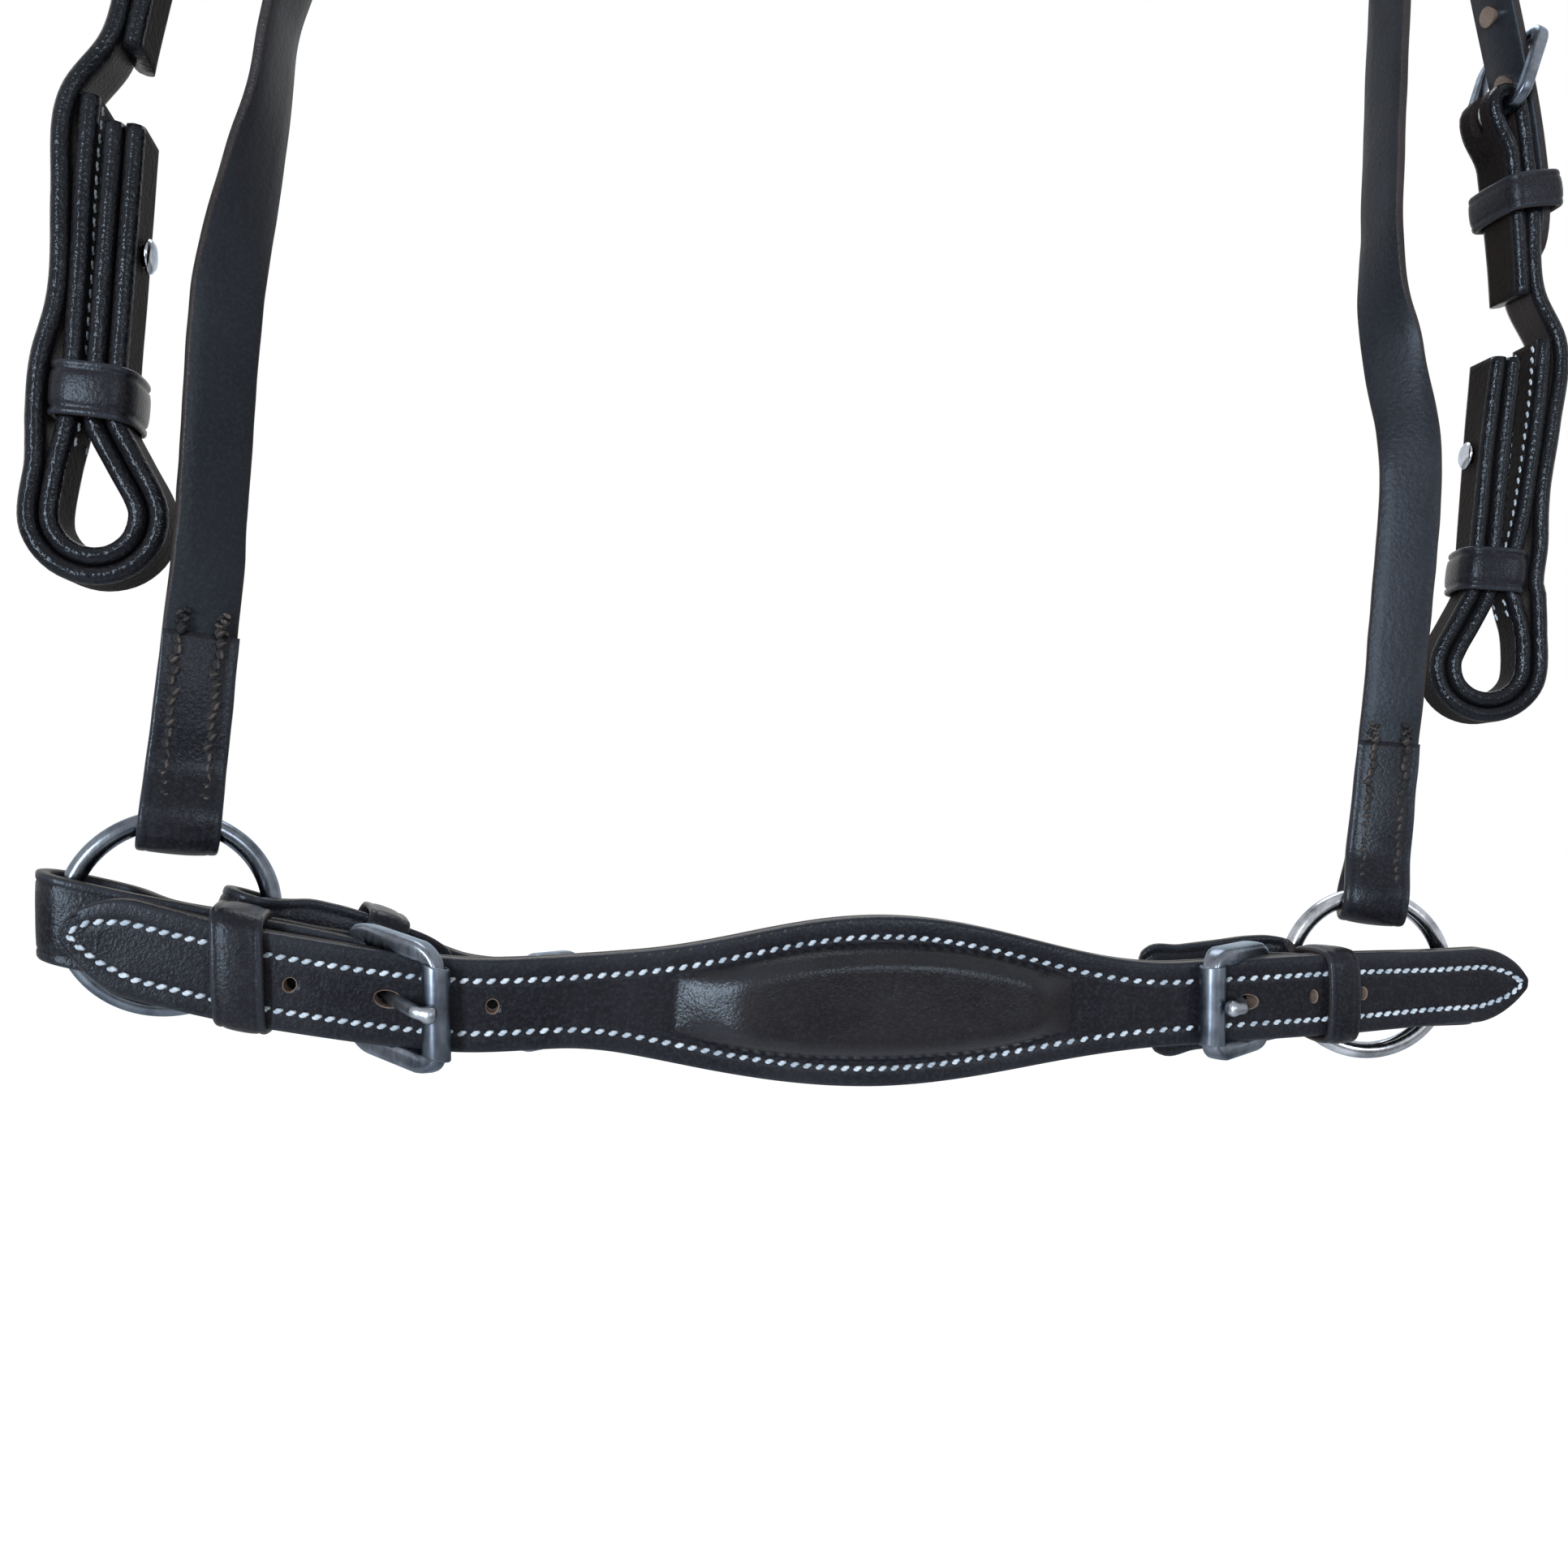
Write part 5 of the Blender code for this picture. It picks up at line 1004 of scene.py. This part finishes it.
crown = [((poll_radius * math.cos(t), poll_depth, sweep_high + poll_radius * math.sin(t)), (0, -1, 0))
         for t in (math.pi * i / 12 for i in range(13))]
rows = hanging(1) + crown + hanging(-1)[::-1]
places, acrosses = [place for place, _ in rows], [across for _, across in rows]
line = Line(places, acrosses)
total, w, thick, sewn_thick = line.length, 0.016, 0.0030, 0.0022
soft = {"step": 0.0015, "depth": 0.0001, "wobble": 0.00016, "crown": 0.00035}
bar_s = total - line.nearest(sweep_high * 0.675)
tip_s = bar_s + 0.044
rod_s = bar_s - plain_buckle
hole_gap = 0.00875
buckle = Buckle(line, rod_s, thick, w, plain_buckle, thick)


def hanger(s, direction):
    """Knots of a hanger's skived flap and its fold round the ring, ending on the main layer."""
    radius, layer, easing = 0.0044, 0.0011, 0.0104
    slim, wide = (0.0137, 0.0148) if direction > 0 else (0.0142, 0.0153)
    flap = [(s + direction * 0.038, -layer, slim + 0.0003), (s + direction * easing, -layer, wide - 0.0002)]
    fold = turn(s - direction * 0.0012, 0, radius, 270 if direction > 0 else -90, 90, wide, 10)
    main = [(s + direction * easing, layer, slim), (s + direction * 0.038, layer, slim),
            (s + direction * 0.0484, 0, slim), (s + direction * 0.120, 0, slim + 0.0004)]
    return spread(flap) + fold + spread(main)


def skived(knots):
    """Adds a share of the thickness to each knot. It tapers at the flap's end."""
    return [(*knot, (0.14, 0.66, 0.94)[i] if i < 3 else 1) for i, knot in enumerate(knots)]


knots = hanger(0, 1)
knots += spread([knots[-1], (tip_s - 0.017, 0, w)], 0.0192)[1:] + tip(tip_s, w, 0.017, 0)[1:]
sliphead = strap("sliphead", line, skived(knots), sewn_thick, **soft)
bm = new_mesh()
buckle.strap_hole(bm)
oval(bm, line, bar_s + hole_gap, 0.0013, 0.0013, thick)
oval(bm, line, rod_s - hole_gap, 0.0013, 0.0013, thick)
carve(sliphead, bm, raw_look)
knots = hanger(total, -1)
knots += spread([knots[-1], (tip_s + 0.017, 0, w), (tip_s, buckle.layer_out, w),
                 (bar_s + 0.003, buckle.layer_out, w)], 0.0192)[1:]
knots += buckle.bar_turn(w)
knots += spread([(bar_s + 3.6 * buckle.fold_radius, buckle.back_layer_out, w),
                 (tip_s - 0.006, buckle.back_layer_out, w)], 0.0192)
left_hanger = strap("hanger_left", line, skived(knots), sewn_thick, flip=True, **soft)
buckle.chape_slot(left_hanger)
buckle.frame("sliphead_buckle_frame", steel)
buckle.tongue("sliphead_tongue", bright_steel)
keeper("sliphead_keeper", line, bar_s + 0.0216, buckle.back_layer_out - thick / 2, thick / 2, w, keeper_length,
       keeper_thick)
spots, clumps, painted_dent_shades = [], [], []
for start, direction in ((0, 1), (total, -1)):
    levels = [(s, out) for s, out, *_ in refine(hanger(start, direction), 2, 0.0006) if out < 0]
    for side_sign in (-1, 1):
        for i in range(17):
            s = start + direction * (0.0048 + 0.0021 * i)
            place, along, across, outward = line.frame(s)
            level = min(levels, key=lambda knot: abs(knot[0] - s))[1]
            offset = side_sign * 0.0038 + noise.noise((i * 1.7 + 0.3, side_sign * 0.7, start)) * 0.0011
            lean = 0.45 + 1.5 * noise.noise((i * 2.3 + 0.4, start + 0.2, side_sign * 0.6))
            spot = place + across * offset + outward * (level - 0.00125)
            spots.append((spot, along * math.cos(lean) + across * math.sin(lean), -outward))
            # A flat near-black patch under each stitch, set a little to one side: painted shade of the dent the stitch
            # presses in.
            painted_dent_shades.append((spot + outward * 0.00004 + across * 0.0003, along, -outward))
        for i in range(7):
            place, along, across, outward = line.frame(start + direction * (0.0386 + 0.0006 * i))
            clumps.append((place + across * (side_sign * 0.0038 + (i % 3 - 1) * 0.0006) - outward * 0.0013,
                           along * (i % 2 - 0.4) + across * 0.8, -outward))
# These flat patches are painted shade round the stitches, not thread.
sew("hanger_dents", painted_dent_shades, "headstall", dark_thread, 0.0024, 0.0016, 0.00018)
sew("hanger_stitches", spots, "headstall", brown_thread, 0.0021, 0.00072, 0.00040)
sew("hanger_knots", clumps[::2], "headstall", brown_thread, 0.0018, 0.0009, 0.0007)
sew("hanger_clumps", clumps[1::2], "headstall", dark_thread, 0.0021, 0.0010, 0.0007)

# Cheekpieces. Two leathers with full round edges, sewn together with white thread, end in a loop for the bit.
# The loop is held by a fixed keeper with beaded rims, and by a steel hook stud inside.
loop_look = leather("loop_leather", (0.0030, 0.0028, 0.0034), (0.0065, 0.0058, 0.0068), (0.008, 0.0085, 0.011),
                    0.25, 0.18, 1100, 0.00013, 0.16)
loop_side = leather("loop_side_leather", (0.0050, 0.0038, 0.0034), (0.0150, 0.0115, 0.0098), (0.020, 0.017, 0.016),
                    0.60, 0.50, 900, 0.00020, 0.03)
LOOP = [loop_side, loop_look, loop_side]


def seam(line, start, end, side, out, pitch=0.00285, slant=0.35, face=1):
    """Spots of a row of stitches along a line, at a distance to its side, on its outer or inner face."""
    spots = []
    for i in range(int(abs(end - start) / pitch) + 1):
        s = start + math.copysign(pitch * i, end - start)
        place, along, across, outward = line.frame(s)
        spots.append((place + across * side + outward * out,
                      along * math.cos(slant) + across * math.sin(slant) * face, outward * face))
    return spots


brow_height = sweep_high - 0.0175
throat_top = brow_height - 0.011
head_thick = 0.0025
head_arch = poll_radius + 0.0015 + 0.0006 + 0.00125
head_width = 0.034
leg_width = (head_width - 0.0012) / 2
cheek_depth_top = poll_depth - (head_width - leg_width) / 2
throat_depth_top = poll_depth + (head_width - leg_width) / 2
loop_held, loop_radius, cheek_depth, cheek_width = 0.1035, 0.01025, 0.022, 0.013
rounded = {"step": 0.0015, "edge": 0.0017, "crease": 0.0050, "depth": 0.0}
cheeks = {}
for side, word, sway in ((1, "right", 0.0135), (-1, "left", 0.0)):
    main, back, loop = 0.166 + sway, 0.1575 + sway, 0.158 + sway
    held = 0.0024 if side > 0 else 0.0
    rows = [(head_arch, cheek_depth_top, sweep_high), (head_arch, cheek_depth_top, brow_height + 0.0055)]
    for outward, depth, height in ((0.012, 0, 1), (0.25, 0.5, 0.81), (0.55, 1, 0.65), (0.82, 1, 0.466),
                                   (1, 1, 0.263), (1, 1, 0.091)):
        rows.append((head_arch + (main - head_arch) * outward,
                     cheek_depth_top + (cheek_depth - cheek_depth_top) * depth,
                     loop_held + (throat_top - loop_held) * height))
    rows += [(main - held, cheek_depth, loop_held), (main + 0.0003 - held / 2, cheek_depth, 0.0965),
             (main + 0.0014, cheek_depth, 0.0890)]
    for degrees in (0, -30, -60, -90, -120, -150, -180, -206):
        t = math.radians(degrees)
        rows.append((loop + loop_radius * math.cos(t), cheek_depth, 0.079 + loop_radius * math.sin(t)))
    rows += [((rows[-1][0] + back - held) / 2, cheek_depth, (rows[-1][2] + 0.098) / 2),
             (back - 0.0003 - held, cheek_depth, 0.098)]
    rows += [(back - held, cheek_depth, height) for height in (loop_held, 0.134, 0.158)]
    places, acrosses = [], []
    for x, y, z in rows:
        swing = Matrix.Rotation(-math.radians(21) * min(1, max(0, (0.200 - z) / 0.080)) if side > 0 else 0, 3, "Z")
        pivot = Vector((side * main, cheek_depth, 0))
        places.append(pivot + swing @ (Vector((side * x, y, z)) - pivot) if z < 0.200 else (side * x, y, z))
        acrosses.append(swing @ Vector((0, side, 0)))
    line = Line(places, acrosses)
    w, thick, out = cheek_width, 0.0036, 0.00195
    bar_s = line.nearest(0.222)
    buckle = Buckle(line, bar_s - plain_buckle, head_thick, w, plain_buckle, thick)
    keeper_s = line.nearest(loop_held)
    top_flap, start_loop, bulge = bar_s + 0.048, keeper_s + 0.0055 + 0.011, 0.0020
    end, stud_s = line.length, line.length - 0.024
    knots = spread([(top_flap, buckle.back_layer_out, w), (bar_s + 3.6 * buckle.fold_radius, buckle.back_layer_out, w)],
                   0.024)
    knots += buckle.bar_turn(w, backwards=True)
    knots += spread([(bar_s + 0.004, buckle.layer_out, w), (top_flap, buckle.layer_out, w),
                     (top_flap + 0.012, out, w), (keeper_s - 0.0165, out, w), (keeper_s - 0.0055, out + bulge, w),
                     (keeper_s + 0.0055, out + bulge, w), (start_loop, out, w)], 0.024)
    loop_knots = spread([(start_loop, 0, w), (end - 0.0545, 0, w)], 0.004)
    knots += [(s, out, w) for s, _, _ in loop_knots[1:]] + [(stud_s, out, w), (end, out, w)]
    outer = strap("cheek_outer_" + word, line, knots, thick + 0.00024, LOOP, **rounded)
    knots = spread([(top_flap + 0.012, -out, w), (keeper_s, -out, w), (start_loop, -out, w)], 0.024)
    knots += [(s, -out, w) for s, _, _ in loop_knots[1:]] + [(stud_s, -out, w), (end, -out, w)]
    inner = strap("cheek_inner_" + word, line, knots, thick + 0.00024, LOOP, flip=True, **rounded)
    buckle.chape_slot(outer)
    for piece in (outer, inner):
        bm = new_mesh()
        oval(bm, line, stud_s, 0.0022, 0.0022, 0.0078)
        carve(piece, bm, edge_look)
    buckle.frame("cheek_buckle_frame_" + word, steel)
    buckle.tongue("cheek_tongue_" + word, bright_steel)
    keeper("cheek_keeper_" + word, line, bar_s + 0.0228, buckle.back_layer_out - thick / 2, 0.00125,
           w + 0.0014, keeper_length, keeper_thick)
    keeper("loop_keeper_" + word, line, keeper_s, -0.0085 - thick - 0.0003, 0, w, 0.011, 0.0014, beaded=True)
    spots = []
    for side_sign in (-1, 1):
        spots += seam(line, top_flap + 0.014, keeper_s - 0.0065, side_sign * 0.0036, -out - thick / 2, face=-1)
        spots += seam(line, keeper_s + 0.0065, keeper_s + 0.012, side_sign * 0.0036, -out - thick / 2, face=-1)
    sew("cheek_stitches_" + word, spots, "headstall", white_thread)

    stud_shape = [(0.0043, 0.0018), (-0.0045, 0.0018), (-0.0045, 0.0030), (-0.0047, 0.0036), (-0.0053, 0.0034),
                  (-0.0059, 0.0026), (-0.0061, 0.0012)]
    bm = new_mesh()
    rings = []
    stud_turn = 1 if line.frame(stud_s)[3].x * side > 0 else -1
    for reach, radius in stud_shape:
        place, _, _, outward = line.frame(stud_s)
        middle = place + outward * reach * stud_turn
        ring_side, up = outward.cross(Vector((0, 0, 1))).normalized(), Vector((0, 0, 1))
        rings.append([bm.verts.new(middle + (ring_side * math.cos(t) + up * math.sin(t)) * radius)
                      for t in (2 * math.pi * i / 28 for i in range(28))])
    skin(bm, rings)
    make("hook_stud_" + word + "_dressed", bm, [bright_steel], ["hook_stud_" + word])
    cheeks[side] = (line, buckle)

# Throatlash. A narrow leather strap between two buckles, on the rear legs of the headpiece.
# It runs back from them under the throat, and both its ends are folded round a buckle's bar.
throat_drop, throat_depth, throat_start, throat_width = 0.063, 0.095, 0.045, 0.0125
throats = {}
for side in (1, -1):
    rows = [(head_arch, throat_depth_top, sweep_high), (head_arch, throat_depth_top, throat_top)]
    for outward, back, height in ((1, 0.06, 0.86), (1, 0.27, 0.55), (1, 0.48, 0.24), (0.95, 0.64, 0.07),
                                  (0.74, 0.83, 0.01), (0.40, 0.95, 0)):
        rows.append((head_arch * outward, throat_depth_top + (throat_depth - throat_depth_top) * back,
                     throat_top - throat_drop + throat_drop * height))
    rows.append((0, throat_depth, throat_top - throat_drop))
    places = rows + [(-x, y, z) for x, y, z in rows[-2::-1]]
    line = Line([(side * x, y, z) for x, y, z in places], [(0, side, 0)] * len(places))
    throats[side] = (line, Buckle(line, throat_start, head_thick, throat_width, plain_buckle, head_thick))
line, buckle = throats[1]
total, w, bar_s = line.length, throat_width, throat_start + plain_buckle
half = spread([(bar_s + 0.0264, buckle.back_layer_out, w),
               (bar_s + 3.6 * buckle.fold_radius, buckle.back_layer_out, w)])
half += buckle.bar_turn(w, backwards=True)
half += spread([(bar_s + 0.004, buckle.layer_out, w), (total / 2, buckle.layer_out, w)])
knots = half + [(total - s, out, wide) for s, out, wide in half[-2::-1]]
throatlash = strap("throatlash", line, knots, head_thick, far=0.003, crease=0.0017)
for side, word in ((1, "right"), (-1, "left")):
    line, buckle = throats[side]
    buckle.chape_slot(throatlash)
    buckle.frame("throat_buckle_frame_" + word, steel)
    buckle.tongue("throat_tongue_" + word, bright_steel)
    keeper("throat_keeper_" + word, line, bar_s + 0.0168, buckle.back_layer_out - 0.00125, 0.00125,
           w + 0.0014, keeper_length, keeper_thick)

# Headpiece. One wide leather over the poll, split each side into a leg for the cheek and one for the throat.
# Its creases run on down both legs, and close to the slit only where it is open.
def half_profile(width, thick, slit_edge, split):
    """Points round one half of the headpiece, from the slit's front corner over the face and round the back."""
    half, deep, edge, cut = width / 2, thick / 2, 0.0006, 0.0002
    inner_edge = edge if split else 0.00002
    inner_cut = cut if split else 0.0
    rows = []
    for side, r, d in ((1, edge, cut), (-1, inner_edge, inner_cut)):
        line = max(half - 0.0019, half * 0.55)
        arc = [(side * (half - r + r * math.cos(t)), deep - r + r * math.sin(t)) for t in
               (0, math.radians(40), math.radians(90))]
        arc += [(side * (line + 0.0005), deep), (side * line, deep - d), (side * (line - 0.0005), deep)]
        rows.append(arc)
    front = rows[0] + [(half * 0.3, deep), (0, deep), (-half * 0.3, deep)] + rows[1][::-1]
    under = [(-half, -deep + inner_edge), (-half + inner_edge, -deep), (0, -deep), (half - edge, -deep),
             (half, -deep + edge)]
    return [(a * slit_edge, b) for a, b in front + under]


bm = new_mesh()
rub = bm.verts.layers.float["rub"]
leg_shares = sorted([i / 60 for i in range(58)] + [0.96, 0.972, 0.984, 0.994, 1])
rows = []
for side in (1, -1):
    cheek_line, throat_line = cheeks[side][0], throats[side][0]
    front_tip, rear_tip = cheek_line.nearest(0.186), throat_start + plain_buckle + 0.0228
    found = []
    for share in leg_shares:
        narrowing = max(0, (share - 0.90) / 0.10)
        narrow = 0.14 + 0.86 * math.sqrt(max(0, 1 - narrowing**2))
        eased = min(1, share * 4)
        legs = []
        for line, end, wide in ((cheek_line, front_tip, cheek_width), (throat_line, rear_tip, throat_width)):
            width = (leg_width + (wide - leg_width) * eased) * narrow
            place, _, across, outward = line.frame(share * end)
            legs.append((place, across * side, outward, width))
        found.append((legs, share > 0.0001))
    rows += found[::-1] if side > 0 else found
    if side > 0:
        for i in range(1, 100):
            t = math.pi * i / 100
            outward = Vector((math.cos(t), 0, math.sin(t)))
            middle = Vector((0, poll_depth, sweep_high)) + outward * head_arch
            legs = [(middle + Vector((0, shift, 0)), Vector((0, 1, 0)), outward, leg_width)
                    for shift in (-(head_width - leg_width) / 2, (head_width - leg_width) / 2)]
            rows.append((legs, False))
rings = []
for legs, split in rows:
    pair = []
    for (place, across, outward, width), slit_edge in zip(legs, (-1, 1)):
        ring = []
        for a, b in half_profile(width, head_thick, slit_edge, split):
            point = place + across * a + outward * b
            point += outward * noise.noise(point * 80) * 0.00008
            vert = bm.verts.new(point)
            # Its front edges take the lighter bluish colour: shine from wear and a painted sheen of the light.
            vert[rub] = 0.8 if b > 0.0007 and abs(a) > width / 2 - 0.0009 and (split or a * slit_edge > 0) else 0.1
            ring.append(vert)
        pair.append(ring)
    rings.append((pair, split))
size = len(rings[0][0][0])
wall = 14
for (pair, split), (following, split_after) in zip(rings, rings[1:]):
    whole = not (split and split_after)
    for ring, ring_after in zip(pair, following):
        for i in range(size):
            j = (i + 1) % size
            if not (whole and i == wall):
                face = bm.faces.new((ring[i], ring[j], ring_after[j], ring_after[i]))
                face.material_index = 2 if i > wall and i < size - 1 else (1 if i in (wall, size - 1) else 0)
    if whole:
        for i, zone in ((wall, 0), (wall + 1, 2)):
            face = bm.faces.new((pair[0][i], pair[1][i], following[1][i], following[0][i]))
            face.material_index = zone
    if split != split_after:
        ends = pair if split else following
        bm.faces.new((ends[0][wall], ends[0][wall + 1], ends[1][wall + 1], ends[1][wall]))
for pair, _ in (rings[0], rings[-1]):
    for ring in pair:
        bm.faces.new(ring).material_index = 1
headpiece = make("headpiece_dressed", bm, LEATHER, ["headpiece"])
bm = new_mesh()
for side in (1, -1):
    line, buckle = cheeks[side]
    buckle.strap_hole(bm)
    throats[side][1].strap_hole(bm)
    oval(bm, line, buckle.start + plain_buckle + 0.009625, 0.0014, 0.0014, head_thick)
    oval(bm, line, buckle.start - hole_gap, 0.0014, 0.0014, head_thick)
carve(headpiece, bm, raw_look)

# Browband. A bowed leather band with two rows of white stitches over the horse's brow.
# Its ends fold back round the headpiece and the sliphead and are stitched down.
brow_bow = 0.071
outer, inner = head_arch + 0.00125 + 0.0012 + 0.0015, poll_radius - 0.0015 - 0.0012 - 0.0015
front, rear = poll_depth - head_width / 2, poll_depth + head_width / 2 + 0.0012
start = front - 0.003
half = [(-outer, rear), (-outer, (front + rear) / 2), (-outer, start)]
for degrees in (14, 28, 44, 62, 78):
    t = math.radians(degrees)
    half.append((-outer * math.cos(t) ** 0.8, start - (brow_bow + start) * math.sin(t) ** 1.1))
places = [(x, y, brow_height) for x, y in half] + [(0, -brow_bow, brow_height)]
places += [(-x, y, brow_height) for x, y in half[::-1]]
line = Line(places, [(0, 0, 1)] * len(places))
total, deep, layer, w = line.length, outer - inner, 0.0046, 0.019
length = rear - start
flap = [(length + 2.2 * deep + 0.040, -layer, w), (length + 1.4 * deep, -layer, w), (length + 0.5 * deep, -deep, w),
        (0, -deep, w)]
first = spread(flap) + turn(0, -deep / 2, deep / 2, 270, 90, w, 10)[1:]
first += spread([(length, 0, w), (total / 4, 0, 0.0205), (total / 2, 0, 0.022)])
knots = first + [(total - s, out, wide) for s, out, wide in first[-2::-1]]
strap("browband", line, knots, 0.003, far=0.0026, crease=0.0021, depth=0.00028)
spots = []
for side_sign in (-1, 1):
    spots += seam(line, length + 0.004, total - length - 0.004, side_sign * 0.0072, 0.0015)
sew("brow_stitches", spots, "headstall", white_thread)

# Camera. It stands left of the middle and close, so that the left ring looks larger.
# Its values come from a fit to the rings, the hangers and the nose strap.
camera_data = bpy.data.cameras.new("camera")
camera_data.sensor_width = 36
camera_data.lens = 36 * 1605.6 / 1932
camera_data.clip_start = 0.01
camera = bpy.data.objects.new("camera", camera_data)
bpy.context.scene.collection.objects.link(camera)
yaw, roll = math.radians(11.94), math.radians(4.34)
forward = Vector((math.sin(yaw), math.cos(yaw), 0))
level = Vector((math.cos(yaw), -math.sin(yaw), 0))
right = level * math.cos(roll) + Vector((0, 0, 1)) * math.sin(roll)
turned = Matrix((right, right.cross(forward), -forward)).transposed().to_4x4()
camera.matrix_world = Matrix.Translation((-0.0725, -0.2946, -0.4545)) @ turned
bpy.context.scene.camera = camera

# Light. The world is plain white for the camera and for reflections, and softer as a light.
# The key lamp stands to the left, so that faces turned left shine bluish and the right stays dark.
bpy.context.scene.view_settings.view_transform = "Standard"
world = bpy.data.worlds.new("world")
bpy.context.scene.world = world
world.use_nodes = True
tree = world.node_tree
rays = tree.nodes.new("ShaderNodeLightPath").outputs
seen = Wire(tree, rays["Is Camera Ray"])
for other in ("Is Glossy Ray", "Is Transmission Ray"):
    seen = seen.node("ShaderNodeMath", {0: seen, 1: Wire(tree, rays[other])}, operation="MAXIMUM")
seen.feed(tree.nodes["Background"], {"Color": (1, 1, 1, 1), "Strength": between(seen, 0, 1, 0.36, 1.0)})


def lamp(name, place, target, size, tall, power, colour):
    data = bpy.data.lights.new(name, "AREA")
    data.shape = "ELLIPSE"
    data.size, data.size_y = size, tall
    data.energy = power
    data.color = colour
    obj = bpy.data.objects.new(name, data)
    bpy.context.scene.collection.objects.link(obj)
    obj.location = place
    obj.rotation_euler = (Vector(target) - Vector(place)).to_track_quat("-Z", "Y").to_euler()


lamp("key", (-0.91, -1.32, -0.34), (0, 0, -0.48), 0.32, 1.05, 32, (0.82, 0.91, 1.0))
lamp("fill", (0.52, -1.46, -0.06), (0, 0, -0.45), 0.5, 0.4, 5, (0.88, 0.94, 1.0))
lamp("rim", (0.1, 0.7, 0.9), (0, 0, -0.4), 0.8, 0.8, 7, (0.92, 0.96, 1.0))

# Floor. It lies well below the bridle, white for the camera and pale as a surface that takes shadow.
floor_data = bpy.data.meshes.new("floor")
floor_data.from_pydata([(-8, -8, -1.3), (8, -8, -1.3), (8, 8, -1.3), (-8, 8, -1.3)], [], [(0, 1, 2, 3)])
floor = bpy.data.objects.new("floor", floor_data)
bpy.context.scene.collection.objects.link(floor)
material, start, shader = new_material("floor_paint", 0, 0.2)
start.feed(shader, {"Base Color": (0.92, 0.92, 0.92, 1), "Roughness": 0.8})
glow = start.node("ShaderNodeEmission", {"Strength": 1.12})
share = start.node("ShaderNodeLightPath", {}, "Is Camera Ray") * 0.92
either = start.node("ShaderNodeMixShader", {"Fac": share, 1: Wire(start.tree, shader.outputs["BSDF"]), 2: glow})
start.feed(start.tree.nodes["Material Output"], {"Surface": either})
floor_data.materials.append(material)
